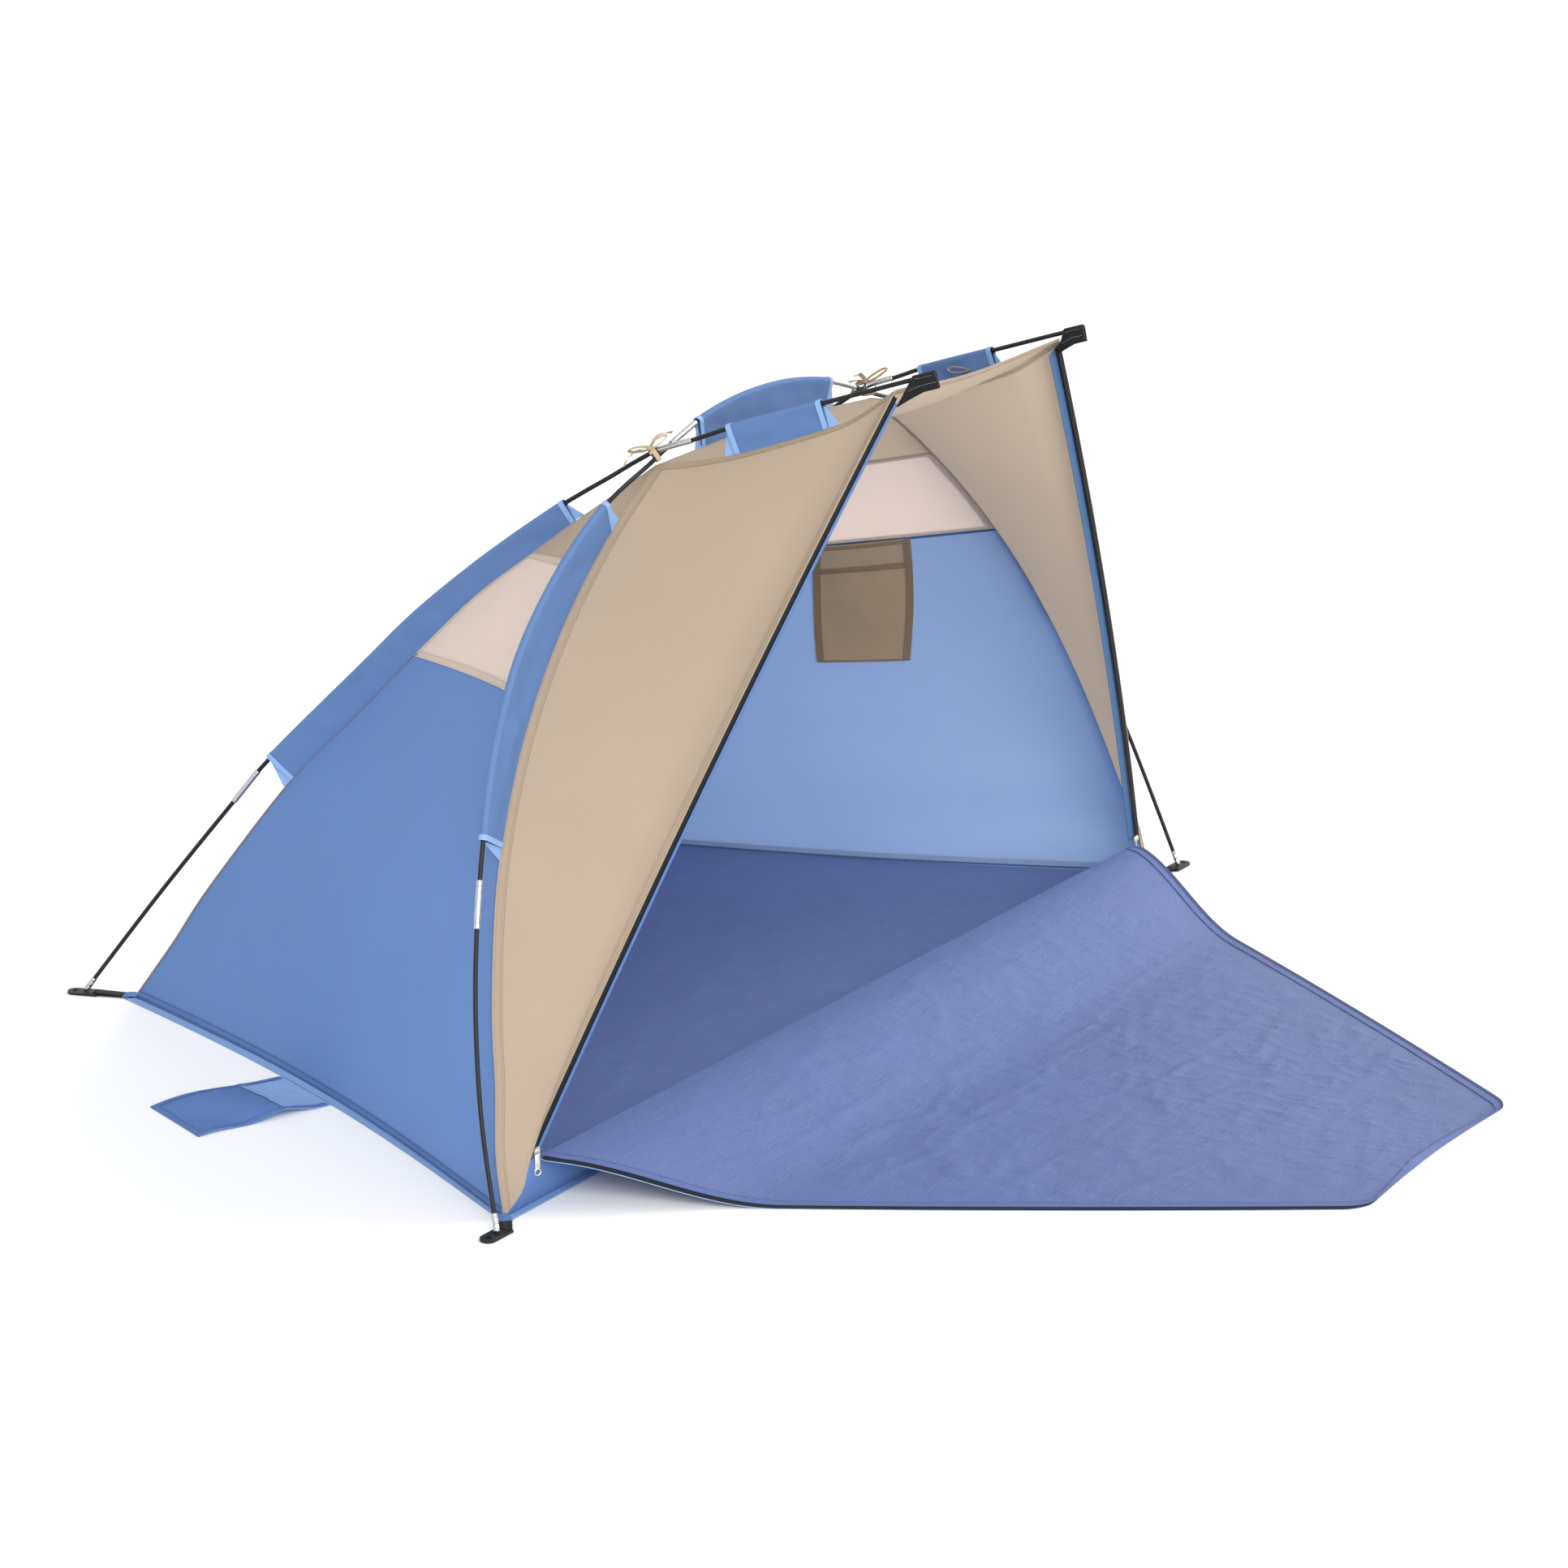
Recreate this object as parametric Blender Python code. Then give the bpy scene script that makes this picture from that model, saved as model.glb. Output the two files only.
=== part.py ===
# Two-person beach tent: three bent poles, a cloth shell hung under them and a door laid out as a mat.
# Metres, +Z up. The door faces -Y. The origin is on the ground, under the middle of the floor.
import math

import bmesh
import bpy
from mathutils import Vector

for old in list(bpy.data.objects):
    bpy.data.objects.remove(old, do_unlink=True)

# Overall sizes
half_width = 1.000  # centre line out to a hoop foot
frame_depth = 1.165  # front feet back to rear feet
crossing_height = 0.943  # ground up to the cloth under the crossing poles
origin_share = 0.4785  # middle of the floor, as a share of the frame's depth
origin_depth = origin_share * frame_depth

# Cloth
cloth_thickness = 0.0008
seam_inset = 0.00065  # each panel's edge back from the line of its seam
join_gap = 0.0004  # between two cloth pieces in one surface
touch_gap = 0.0003  # between pieces that rest on each other
hem_height = 0.0017  # lower edge of the walls, on the floor sheet
floor_flange = 0.014  # floor sheet past the walls
side_hem_bow = 0.036  # the side hem curves in by this between the corners
rear_hem_bow = 0.025
back_sag = 0.020
roof_sag = 0.012
front_sag = 0.012
apex_share = 0.80  # how far the top row of the upper side panel reaches towards the crossing
side_rows = (9, 3, 4)  # rows of cloth below, across and above the window
side_columns = 7
ridge_columns = 6
wide_columns = 8

# Window band, on the rear seam and on the hoop seam, as shares of the crossing's height
window_bottom_rear_share = 0.649
window_bottom_front_share = 0.701
window_top_rear_share = 0.8367
window_top_front_share = 0.8727

# Door, sill and zips
sill_height = 0.070
sill_back_share = 0.0206  # line of the sill's top, as a share of the frame's depth
zip_foot_share = 0.893  # of the half width
zip_bow = 0.018
zip_tape_width = 0.012
door_hinge_gap = 0.0006  # cloth back from the line that the door turns on
door_side_clearance = 0.018  # door's edge in from the middle of the zip's tape
door_relief = 0.009  # the door is narrower by this at the sill, where the pulls hang
door_relief_length = 0.030
door_top_clearance = 0.030
door_landing = 0.300  # from the sill to where the door meets the ground
door_corner_radius = 0.050
door_corner_rows = 3
door_rows = 16
door_columns = 14

# Poles
rod_radius = 0.00345
rod_clearance = 0.0004
ferrule_wall = 0.0008
ferrule_length = 0.070
rod_end_gap = 0.0004
rear_foot_rod_length = 0.470
hoop_foot_rod_length = 0.460
hoop_top_rod_length = 0.452
peak_rod_length = 0.438
tip_length = 0.026
tip_radius = 0.0046
tip_bore_radius = 0.0022
tip_bore_depth = 0.016
station_step = 0.050
rod_sides = 8

# Sleeves
sleeve_clearance = 0.0016
sleeve_base_lift = 0.0007
sleeve_base_half = 0.0012
sleeve_slit_half = 0.0004
sleeve_base_height = 0.0022
side_sleeve_shares = (0.437, 0.888)  # along the hoop seam, from the corner to the crossing
rear_sleeve_shares = (0.367, 0.875)  # along the rear seam
roof_sleeve_shares = (0.312, 0.690)  # along the ridge, from the crossing to the peak
top_sleeve_shares = (0.205, 0.795)  # along the hoop, from crossing to crossing

# Pockets at the peaks
pocket_length = 0.042
pocket_overhang = 0.008
pocket_wall = 0.0016
pocket_clearance = 0.0008
pocket_base_half = 0.0030
pocket_slit_half = 0.0010
pocket_slit_share = 0.35
pocket_drop = 0.020
pocket_seat = 0.0030

# Ground plates and straps
plate_thickness = 0.0038
plate_half_width = 0.0125
plate_nose = 0.032  # pin out to the round end
plate_bar = 0.022  # pin in to the strap's end
plate_slot_length = 0.0205
plate_slot_width = 0.0048
plate_bar_width = 0.0040
plate_bar_lift = 0.0019
plate_window_radius = 0.0042
pin_radius = 0.0016
pin_height = 0.013
strap_width = 0.0190
strap_thickness = 0.0012
strap_ply_gap = 0.0006
strap_end_gap = 0.0030
round_segments = 12

# Ties
tie_width = 0.0070
tie_thickness = 0.0009
tie_knot_size = 0.0080
tie_band_half = 0.0125
tie_band_clearance = 0.0008
tie_loop_length = 0.042
tie_loop_half = 0.0080
tie_loop_steps = 8
tie_tail_length = 0.050

# Sliders and pulls
slider_length = 0.0120
slider_half_width = 0.0055
slider_plate = 0.0010
slider_clearance = 0.0004
slider_post_half = 0.0010
slider_rise = 0.0180  # middle of the slider above the zip's lower end
bridge_half_length = 0.0044
bridge_half_width = 0.0008
bridge_thickness = 0.0008
bridge_headroom = 0.0017
pull_length = 0.0270
pull_half_width = 0.0038
pull_thickness = 0.0009
pull_hole_radius = 0.0022
pull_slot_half_width = 0.0014
pull_slot_length = 0.0064

# Sand flaps
flap_length = 0.225
flap_width = 0.150
flap_share = 0.535  # middle of the flap along the side hem, from the front
flap_gap = 0.0006
flap_wave = 0.0050
flap_rows = 8
flap_columns = 6

# Storage pocket on the right wall
store_bottom_share = 0.60  # of the blue panel's height
store_bottom_edge_shares = (0.447, 0.653)  # of the wall's width, from the rear
store_top_edge_shares = (0.389, 0.713)
store_standoff = 0.0016
store_bulge = 0.0090
store_rows = 6
store_columns = 6

# Curves of the frame: shares of the half width, the frame's depth and the crossing's height
front_corner_shares = (0.945, 0.026, 0.0)
rear_corner_shares = (0.535, 0.931, 0.0)
crossing_shares = (0.298, 0.182, 1.000)
peak_shares = (0.232, -0.146, 1.1506)
top_centre_shares = (0.0, 0.184, 1.010)
pole_top_shares = (0.0, 0.184, 1.072)
eave_centre_shares = (0.0, -0.131, 1.136)
hoop_seam_shares = (
    (0.937, 0.041, 0.092), (0.906, 0.060, 0.183), (0.880, 0.080, 0.275), (0.848, 0.098, 0.366),
    (0.809, 0.116, 0.458), (0.760, 0.132, 0.549), (0.699, 0.147, 0.641), (0.624, 0.160, 0.733),
    (0.533, 0.171, 0.824), (0.425, 0.179, 0.913))
rear_seam_shares = (
    (0.515, 0.874, 0.105), (0.493, 0.816, 0.217), (0.450, 0.698, 0.414), (0.419, 0.609, 0.532),
    (0.390, 0.521, 0.649), (0.364, 0.435, 0.757), (0.341, 0.355, 0.837), (0.323, 0.291, 0.900))
ridge_seam_shares = (
    (0.283, 0.137, 1.008), (0.269, 0.076, 1.027), (0.256, 0.016, 1.052), (0.243, -0.057, 1.086),
    (0.237, -0.093, 1.108))
hoop_top_shares = ((0.172, 0.183, 1.006), (0.090, 0.184, 1.009))
hoop_pole_shares = (
    (1.000, 0.000, 0.000), (0.974, 0.035, 0.140), (0.945, 0.061, 0.251), (0.908, 0.085, 0.362),
    (0.857, 0.110, 0.479), (0.801, 0.131, 0.600), (0.753, 0.144, 0.687), (0.672, 0.160, 0.791),
    (0.554, 0.172, 0.891), (0.430, 0.179, 0.964), (0.300, 0.182, 1.0100), (0.249, 0.183, 1.030),
    (0.180, 0.184, 1.051), (0.090, 0.184, 1.067))
rear_pole_shares = (
    (0.565, 1.000, 0.000), (0.519, 0.886, 0.200), (0.478, 0.778, 0.372), (0.458, 0.721, 0.458),
    (0.412, 0.590, 0.627), (0.388, 0.514, 0.723), (0.358, 0.417, 0.826), (0.329, 0.315, 0.920),
    (0.314, 0.259, 0.964), (0.298, 0.182, 1.0238), (0.285, 0.142, 1.041), (0.270, 0.080, 1.071),
    (0.245, -0.036, 1.119), (0.2235, -0.148, 1.165), (0.2165, -0.188, 1.181))
curve_steps = 8

# Colours: red, green, blue, roughness, metallic
finishes = {
    "blue_cloth": (0.150, 0.290, 0.620, 0.80, 0.0),
    "beige_cloth": (0.600, 0.490, 0.370, 0.80, 0.0),
    "window_cloth": (0.700, 0.610, 0.560, 0.70, 0.0),
    "floor_cloth": (0.085, 0.120, 0.340, 0.65, 0.0),
    "mat_cloth": (0.160, 0.210, 0.480, 0.65, 0.0),
    "pocket_cloth": (0.300, 0.240, 0.170, 0.85, 0.0),
    "fibreglass": (0.020, 0.021, 0.024, 0.40, 0.0),
    "steel": (0.620, 0.620, 0.620, 0.30, 1.0),
    "black_plastic": (0.012, 0.012, 0.014, 0.50, 0.0),
    "black_webbing": (0.010, 0.010, 0.012, 0.90, 0.0),
    "zip_black": (0.008, 0.008, 0.010, 0.70, 0.0),
    "zip_metal": (0.560, 0.520, 0.440, 0.35, 1.0),
    "tie_tape": (0.520, 0.420, 0.290, 0.85, 0.0),
}
smooth_limit = math.radians(40)
rightward = Vector((1, 0, 0))
backward = Vector((0, 1, 0))
upward = Vector((0, 0, 1))
sides = {"left": -1, "right": 1}


# Materials and objects
def material(name):
    found = bpy.data.materials.get(name)
    if found:
        return found
    made = bpy.data.materials.new(name)
    made.use_nodes = True
    shader = made.node_tree.nodes["Principled BSDF"]
    red, green, blue, roughness, metallic = finishes[name]
    shader.inputs["Base Color"].default_value = (red, green, blue, 1)
    shader.inputs["Roughness"].default_value = roughness
    shader.inputs["Metallic"].default_value = metallic
    return made


def add_object(name, made, finish, pivot=None):
    # With a pivot, the object's own origin is put there and its shape stays where it is.
    bmesh.ops.recalc_face_normals(made, faces=made.faces)
    if pivot:
        bmesh.ops.translate(made, verts=made.verts, vec=-pivot)
    mesh = bpy.data.meshes.new(name)
    made.to_mesh(mesh)
    made.free()
    mesh.materials.append(material(finish))
    mesh.shade_smooth()
    mesh.set_sharp_from_angle(angle=smooth_limit)
    body = bpy.data.objects.new(name, mesh)
    bpy.context.scene.collection.objects.link(body)
    if pivot:
        body.location = pivot
    return body


def combine(body, operation, tools):
    # Cut the tools from the body or join them to it, and keep only the body.
    for tool in tools:
        step = body.modifiers.new(operation.lower(), "BOOLEAN")
        step.operation = operation
        step.solver = "EXACT"
        step.object = tool
    bpy.context.view_layer.update()
    depsgraph = bpy.context.evaluated_depsgraph_get()
    result = bpy.data.meshes.new_from_object(body.evaluated_get(depsgraph))
    body.modifiers.clear()
    body.data = result
    for tool in tools:
        bpy.data.objects.remove(tool, do_unlink=True)


# Curves, as lists of points
def place(shares, side=1):
    across, back, up = shares
    return Vector((side * across * half_width, back * frame_depth - origin_depth, up * crossing_height))


def mirrored(points):
    return [Vector((-point.x, point.y, point.z)) for point in points]


def on_side(points, side):
    return points if side > 0 else mirrored(points)


def smooth_curve(points):
    padded = [2 * points[0] - points[1]] + points + [2 * points[-1] - points[-2]]
    curve = []
    for before, start, end, after in zip(padded, padded[1:], padded[2:], padded[3:]):
        for step in range(curve_steps):
            t = step / curve_steps
            curve.append((2 * start + (end - before) * t
                          + (2 * before - 5 * start + 4 * end - after) * t ** 2
                          + (3 * start - before - 3 * end + after) * t ** 3) / 2)
    return curve + [points[-1]]


def distances(curve):
    total = [0.0]
    for start, end in zip(curve, curve[1:]):
        total.append(total[-1] + (end - start).length)
    return total


def at_distance(curve, distance):
    total = distances(curve)
    distance = min(max(distance, 0), total[-1])
    index = 0
    while index < len(curve) - 2 and total[index + 1] < distance:
        index += 1
    share = (distance - total[index]) / (total[index + 1] - total[index])
    return curve[index].lerp(curve[index + 1], share)


def distance_at_height(curve, height):
    total = distances(curve)
    index = 0
    while index < len(curve) - 2 and curve[index + 1].z < height:
        index += 1
    share = (height - curve[index].z) / (curve[index + 1].z - curve[index].z)
    return total[index] + (total[index + 1] - total[index]) * share


def spaced(curve, start, end, count):
    return [at_distance(curve, start + (end - start) * step / count) for step in range(count + 1)]


def resampled(curve, count):
    return spaced(curve, 0, distances(curve)[-1], count)


def nearest(curve, point):
    # The nearest point of a curve and the curve's direction there.
    best = None
    for start, end in zip(curve, curve[1:]):
        along = end - start
        share = min(max((point - start).dot(along) / along.length_squared, 0), 1)
        found = start + along * share
        if best is None or (found - point).length < (best[0] - point).length:
            best = (found, along.normalized())
    return best


# Solids
def cloth(name, grid, finish, pivot=None):
    # A closed sheet of even thickness over a grid of points.
    rows, columns = len(grid), len(grid[0])
    normals = grid_normals(grid)
    made = bmesh.new()
    corners = {}
    for face in (1, -1):
        for row in range(rows):
            for column in range(columns):
                point = grid[row][column] + normals[row][column] * (face * cloth_thickness / 2)
                corners[face, row, column] = made.verts.new(point)
    for face in (1, -1):
        for row in range(rows - 1):
            for column in range(columns - 1):
                made.faces.new([corners[face, row, column], corners[face, row, column + 1],
                                corners[face, row + 1, column + 1], corners[face, row + 1, column]])
    rim = [(0, column) for column in range(columns)]
    rim += [(row, columns - 1) for row in range(1, rows)]
    rim += [(rows - 1, column) for column in range(columns - 2, -1, -1)]
    rim += [(row, 0) for row in range(rows - 2, 0, -1)]
    for start, end in zip(rim, rim[1:] + rim[:1]):
        made.faces.new([corners[(1,) + start], corners[(1,) + end],
                        corners[(-1,) + end], corners[(-1,) + start]])
    return add_object(name, made, finish, pivot)


def loft(name, rings, finish, closed=False, pivot=None):
    # A solid through rings of points, capped at its ends or closed on itself.
    made = bmesh.new()
    loops = [[made.verts.new(point) for point in ring] for ring in rings]
    pairs = list(zip(loops, loops[1:]))
    if closed:
        pairs.append((loops[-1], loops[0]))
    else:
        made.faces.new(loops[0])
        made.faces.new(loops[-1])
    for start, end in pairs:
        for index in range(len(start)):
            after = (index + 1) % len(start)
            made.faces.new([start[index], start[after], end[after], end[index]])
    return add_object(name, made, finish, pivot)


def box(name, centre, axes, halves, finish, pivot=None):
    rings = []
    for end in (-1, 1):
        middle = centre + axes[2] * (end * halves[2])
        rings.append([middle + axes[0] * (a * halves[0]) + axes[1] * (b * halves[1])
                      for a, b in ((-1, -1), (1, -1), (1, 1), (-1, 1))])
    return loft(name, rings, finish, pivot=pivot)


def circle(centre, across, over, radius, count):
    ring = []
    for index in range(count):
        turn = math.tau * index / count
        ring.append(centre + across * (radius * math.cos(turn)) + over * (radius * math.sin(turn)))
    return ring


def cylinder(name, start, end, radius, finish, count=round_segments):
    axis = (end - start).normalized()
    across = axis.orthogonal().normalized()
    over = axis.cross(across)
    return loft(name, [circle(point, across, over, radius, count) for point in (start, end)], finish)


# Grids of points, row by row, that the cloth is made over
def patch(low, high, left, right):
    rows, columns = len(left) - 1, len(low) - 1
    grid = []
    for row in range(rows + 1):
        v = row / rows
        line = []
        for column in range(columns + 1):
            u = column / columns
            edges = (1 - v) * low[column] + v * high[column] + (1 - u) * left[row] + u * right[row]
            ends = ((1 - u) * (1 - v) * low[0] + u * (1 - v) * low[-1]
                    + (1 - u) * v * high[0] + u * v * high[-1])
            line.append(edges - ends)
        grid.append(line)
    return grid


def sag(grid, amount, direction):
    rows, columns = len(grid) - 1, len(grid[0]) - 1
    for row, line in enumerate(grid):
        for column, point in enumerate(line):
            depth = math.sin(math.pi * row / rows) * math.sin(math.pi * column / columns)
            line[column] = point + direction * (amount * depth)
    return grid


def draw_in(grid, first=0, last=0, low=0, high=0):
    # Pull the edges of a grid in from the seams around it.
    for line in grid:
        start = (line[1] - line[0]).normalized() * first
        end = (line[-2] - line[-1]).normalized() * last
        line[0] = line[0] + start
        line[-1] = line[-1] + end
    for column in range(len(grid[0])):
        start = (grid[1][column] - grid[0][column]).normalized() * low
        end = (grid[-2][column] - grid[-1][column]).normalized() * high
        grid[0][column] = grid[0][column] + start
        grid[-1][column] = grid[-1][column] + end
    return grid


def grid_normals(grid):
    rows, columns = len(grid) - 1, len(grid[0]) - 1
    normals = []
    for row in range(rows + 1):
        line = []
        for column in range(columns + 1):
            across = grid[row][min(column + 1, columns)] - grid[row][max(column - 1, 0)]
            up = grid[min(row + 1, rows)][column] - grid[max(row - 1, 0)][column]
            line.append(across.cross(up).normalized())
        normals.append(line)
    return normals


def copy_rows(grid, start, end):
    return [[point.copy() for point in line] for line in grid[start:end + 1]]


# Poles: each is one line of straight steps, which its rods, ferrules and sleeves all follow
class Pole:
    def __init__(self, points):
        curve = smooth_curve(points)
        self.line = resampled(curve, round(distances(curve)[-1] / station_step))
        self.marks = distances(self.line)
        self.length = self.marks[-1]
        self.steps = [(end - start).normalized() for start, end in zip(self.line, self.line[1:])]
        self.across = [self.steps[0].cross(upward).normalized()]
        for before, after in zip(self.steps, self.steps[1:]):
            self.across.append(before.rotation_difference(after) @ self.across[-1])

    def frame(self, distance):
        for index, mark in enumerate(self.marks[1:-1], 1):
            if abs(mark - distance) < touch_gap:
                step = (self.steps[index - 1] + self.steps[index]).normalized()
                across = (self.across[index - 1] + self.across[index]).normalized()
                return self.line[index], step, across
        index = 0
        while index < len(self.steps) - 1 and self.marks[index + 1] < distance:
            index += 1
        centre = self.line[index] + self.steps[index] * (distance - self.marks[index])
        return centre, self.steps[index], self.across[index]

    def ring(self, distance, radius):
        centre, step, across = self.frame(distance)
        return circle(centre, across, step.cross(across), radius, rod_sides)

    def between(self, start, end):
        inside = [mark for mark in self.marks if start + touch_gap * 2 < mark < end - touch_gap * 2]
        return [start] + inside + [end]

    def rod(self, name, start, end):
        loft(name, [self.ring(mark, rod_radius) for mark in self.between(start, end)], "fibreglass")

    def foot_rod(self, name, length, from_start=True):
        # The steel tip is crimped on, and its bore takes the plate's pin.
        def mark(distance):
            return distance if from_start else self.length - distance

        rings = [self.ring(mark(tip_bore_depth), tip_bore_radius), self.ring(mark(0), tip_bore_radius),
                 self.ring(mark(0), tip_radius), self.ring(mark(tip_length), tip_radius)]
        marks = self.between(*sorted((mark(tip_length), mark(length))))
        if not from_start:
            marks.reverse()
        loft(name, rings + [self.ring(distance, rod_radius) for distance in marks], "fibreglass")

    def ferrule(self, name, middle):
        marks = self.between(middle - ferrule_length / 2, middle + ferrule_length / 2)
        inner = rod_radius + rod_clearance
        rings = [self.ring(mark, inner + ferrule_wall) for mark in marks]
        rings += [self.ring(mark, inner) for mark in reversed(marks)]
        loft(name, rings, "steel", closed=True)


def on_plate(points):
    # Raise a pole's foot until the rim of its leaning tip clears the plate.
    lean = (points[1] - points[0]).normalized()
    points[0].z = plate_thickness + touch_gap * 2 + tip_radius * math.hypot(lean.x, lean.y)
    return points


# Main lines, drawn on the right side (+X) and mirrored for the left
front_corner = place(front_corner_shares) + upward * hem_height
rear_corner = place(rear_corner_shares) + upward * hem_height
crossing = place(crossing_shares)
peak = place(peak_shares)
zip_foot = Vector((zip_foot_share * half_width, sill_back_share * frame_depth - origin_depth, sill_height))

# The zip is an arc in the plane of the closed door
zip_chord = peak - zip_foot
chord_half = zip_chord.length / 2
chord_way = zip_chord.normalized()
door_up = Vector((0, zip_chord.y, zip_chord.z)).normalized()
door_front = rightward.cross(door_up)
zip_out = chord_way.cross(door_front).normalized()
zip_radius = (chord_half ** 2 + zip_bow ** 2) / (2 * zip_bow)
zip_centre = zip_foot + chord_way * chord_half - zip_out * (zip_radius - zip_bow)
zip_half_angle = math.asin(chord_half / zip_radius)


def zip_point(share, offset=0):
    turn = (2 * share - 1) * zip_half_angle
    return zip_centre + (zip_out * math.cos(turn) + chord_way * math.sin(turn)) * (zip_radius + offset)


def zip_line(offset, count):
    # A line beside the zip, cut off level with the sill at its foot.
    foot = -offset * zip_out.z / chord_way.z / (2 * zip_half_angle * zip_radius)
    return [zip_point(foot + (1 - foot) * row / count, offset) for row in range(count + 1)]


seam_rows = sum(side_rows)
zip_edge = zip_line(zip_tape_width / 2 + cloth_thickness, seam_rows)


def side_seam(shares, corner, bottom_share, top_share):
    # Points from the ground corner to the crossing, with rows on the window's two edges.
    curve = smooth_curve([corner] + [place(row) for row in shares] + [crossing])
    bottom = distance_at_height(curve, bottom_share * crossing_height)
    top = distance_at_height(curve, top_share * crossing_height)
    knots = [0, bottom, top, distances(curve)[-1]]
    points = [curve[0]]
    for start, end, count in zip(knots, knots[1:], side_rows):
        points += spaced(curve, start, end, count)[1:]
    return points


def middle_curve(points, count):
    # A curve from its left end to its right, from the right half's points and the middle's.
    return resampled(smooth_curve(mirrored(points[:-1]) + points[::-1]), count)


hoop_seam = side_seam(hoop_seam_shares, front_corner, window_bottom_front_share, window_top_front_share)
rear_seam = side_seam(rear_seam_shares, rear_corner, window_bottom_rear_share, window_top_rear_share)
ridge_points = [crossing] + [place(row) for row in ridge_seam_shares] + [zip_edge[-1]]
ridge_seam = resampled(smooth_curve(ridge_points), ridge_columns)
hoop_top = middle_curve([crossing] + [place(row) for row in hoop_top_shares] + [place(top_centre_shares)],
                        wide_columns)
eave = middle_curve([zip_edge[-1], place(eave_centre_shares)], wide_columns)
rear_hem_middle = Vector((0, rear_corner.y - rear_hem_bow, rear_corner.z))
rear_hem = middle_curve([rear_corner, rear_hem_middle], wide_columns)
hoop_left = on_plate([place(row, -1) for row in hoop_pole_shares])
hoop_pole = Pole(hoop_left + [place(pole_top_shares)] + mirrored(hoop_left)[::-1])
rear_poles = {name: Pole(on_plate([place(row, side) for row in rear_pole_shares]))
              for name, side in sides.items()}


def wall_grid(side):
    # Rows from the rear seam to the hoop seam, from the hem up to the crossing.
    grid = []
    for rear, front in zip(rear_seam, hoop_seam):
        bow = side_hem_bow * (1 - rear.z / crossing_height)
        line = []
        for column in range(side_columns + 1):
            u = column / side_columns
            line.append(rear.lerp(front, u) - rightward * (bow * math.sin(math.pi * u)))
        grid.append(on_side(line, side))
    return grid


# Walls, roof and floor
def make_side(name, side):
    grid = wall_grid(side)
    below = side_rows[0]
    above = side_rows[0] + side_rows[1]
    half_join = join_gap / 2
    lower = draw_in(copy_rows(grid, 0, below), seam_inset, seam_inset, 0, half_join)
    cloth("side_panel_" + name, lower, "blue_cloth")
    window = draw_in(copy_rows(grid, below, above), seam_inset, seam_inset, half_join, half_join)
    cloth("window_" + name, window, "window_cloth")
    upper = copy_rows(grid, above, seam_rows)
    upper[-1] = [point.lerp(end, apex_share) for point, end in zip(upper[-2], upper[-1])]
    cloth("upper_side_" + name, draw_in(upper, seam_inset, seam_inset, half_join), "beige_cloth")


def make_front(name, side):
    low = resampled([front_corner, zip_edge[0]], ridge_columns)
    grid = patch(low, ridge_seam, hoop_seam, zip_edge)
    grid = sag(grid, front_sag, (backward - rightward).normalized())
    grid = draw_in(grid, seam_inset, 0, seam_inset, seam_inset)
    cloth("front_panel_" + name, [on_side(line, side) for line in grid], "beige_cloth")


def make_back():
    grid = patch(rear_hem, hoop_top, mirrored(rear_seam), rear_seam)
    grid = sag(grid, back_sag, -(backward + upward).normalized())
    cloth("back_panel", draw_in(grid, seam_inset, seam_inset, 0, seam_inset), "blue_cloth")


def make_roof():
    grid = patch(hoop_top, eave, mirrored(ridge_seam), ridge_seam)
    grid = sag(grid, roof_sag, -upward)
    cloth("roof_panel", draw_in(grid, seam_inset, seam_inset, seam_inset), "beige_cloth")


def floor_edge(side):
    # The floor reaches a flange's width beyond the hems.
    along = front_corner - rear_corner
    side_reach = floor_flange * along.length / -along.y
    edge = []
    for row, point in enumerate(wall_grid(1)[0]):
        back_reach = floor_flange * (1 - 2 * row / side_columns)
        edge.append(Vector(((point.x + side_reach) * side, point.y + back_reach, 0)))
    return edge


def make_floor():
    # Rows from the rear hem to the front edge, each from side to side.
    grid = []
    for row, end in enumerate(floor_edge(1)):
        bow = rear_hem_bow * (1 - row / side_columns)
        line = []
        for column in range(wide_columns + 1):
            u = column / wide_columns
            back = end.y - bow * math.sin(math.pi * u)
            line.append(Vector(((2 * u - 1) * end.x, back, cloth_thickness / 2)))
        grid.append(line)
    cloth("floor_sheet", grid, "floor_cloth")


# Door, sill and zips
def door_profile():
    # From the sill's top down to the ground and out along it, in the middle of the door.
    ground = cloth_thickness / 2
    steps = door_rows * curve_steps
    curve = []
    for index in range(steps + 1):
        away = zip_chord.dot(door_up) * index / steps
        fall = min(away / door_landing, 1)
        drop = (1 + math.cos(math.pi * fall)) / 2
        curve.append(Vector((0, zip_foot.y - away, ground + (sill_height - ground) * drop)))
    return curve


def make_door():
    profile = door_profile()
    end = zip_chord.dot(door_up) - door_top_clearance
    bend = end - door_corner_radius
    rises = [door_hinge_gap + (bend - door_hinge_gap) * row / door_rows for row in range(door_rows + 1)]
    rises += [bend + door_corner_radius * math.sin(math.pi / 2 * row / door_corner_rows)
              for row in range(1, door_corner_rows + 1)]
    grid = []
    for rise in rises:
        point = at_distance(profile, rise)
        beyond = max(rise - bend, 0)
        rounding = door_corner_radius - math.sqrt(max(door_corner_radius ** 2 - beyond ** 2, 0))
        rounding += door_relief * max(1 - rise / door_relief_length, 0)
        half = zip_point(rise / zip_chord.dot(door_up)).x - door_side_clearance - rounding
        grid.append([Vector(((2 * column / door_columns - 1) * half, point.y, point.z))
                     for column in range(door_columns + 1)])
    cloth("door_panel", grid, "mat_cloth", pivot=Vector((0, zip_foot.y, sill_height)))


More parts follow.
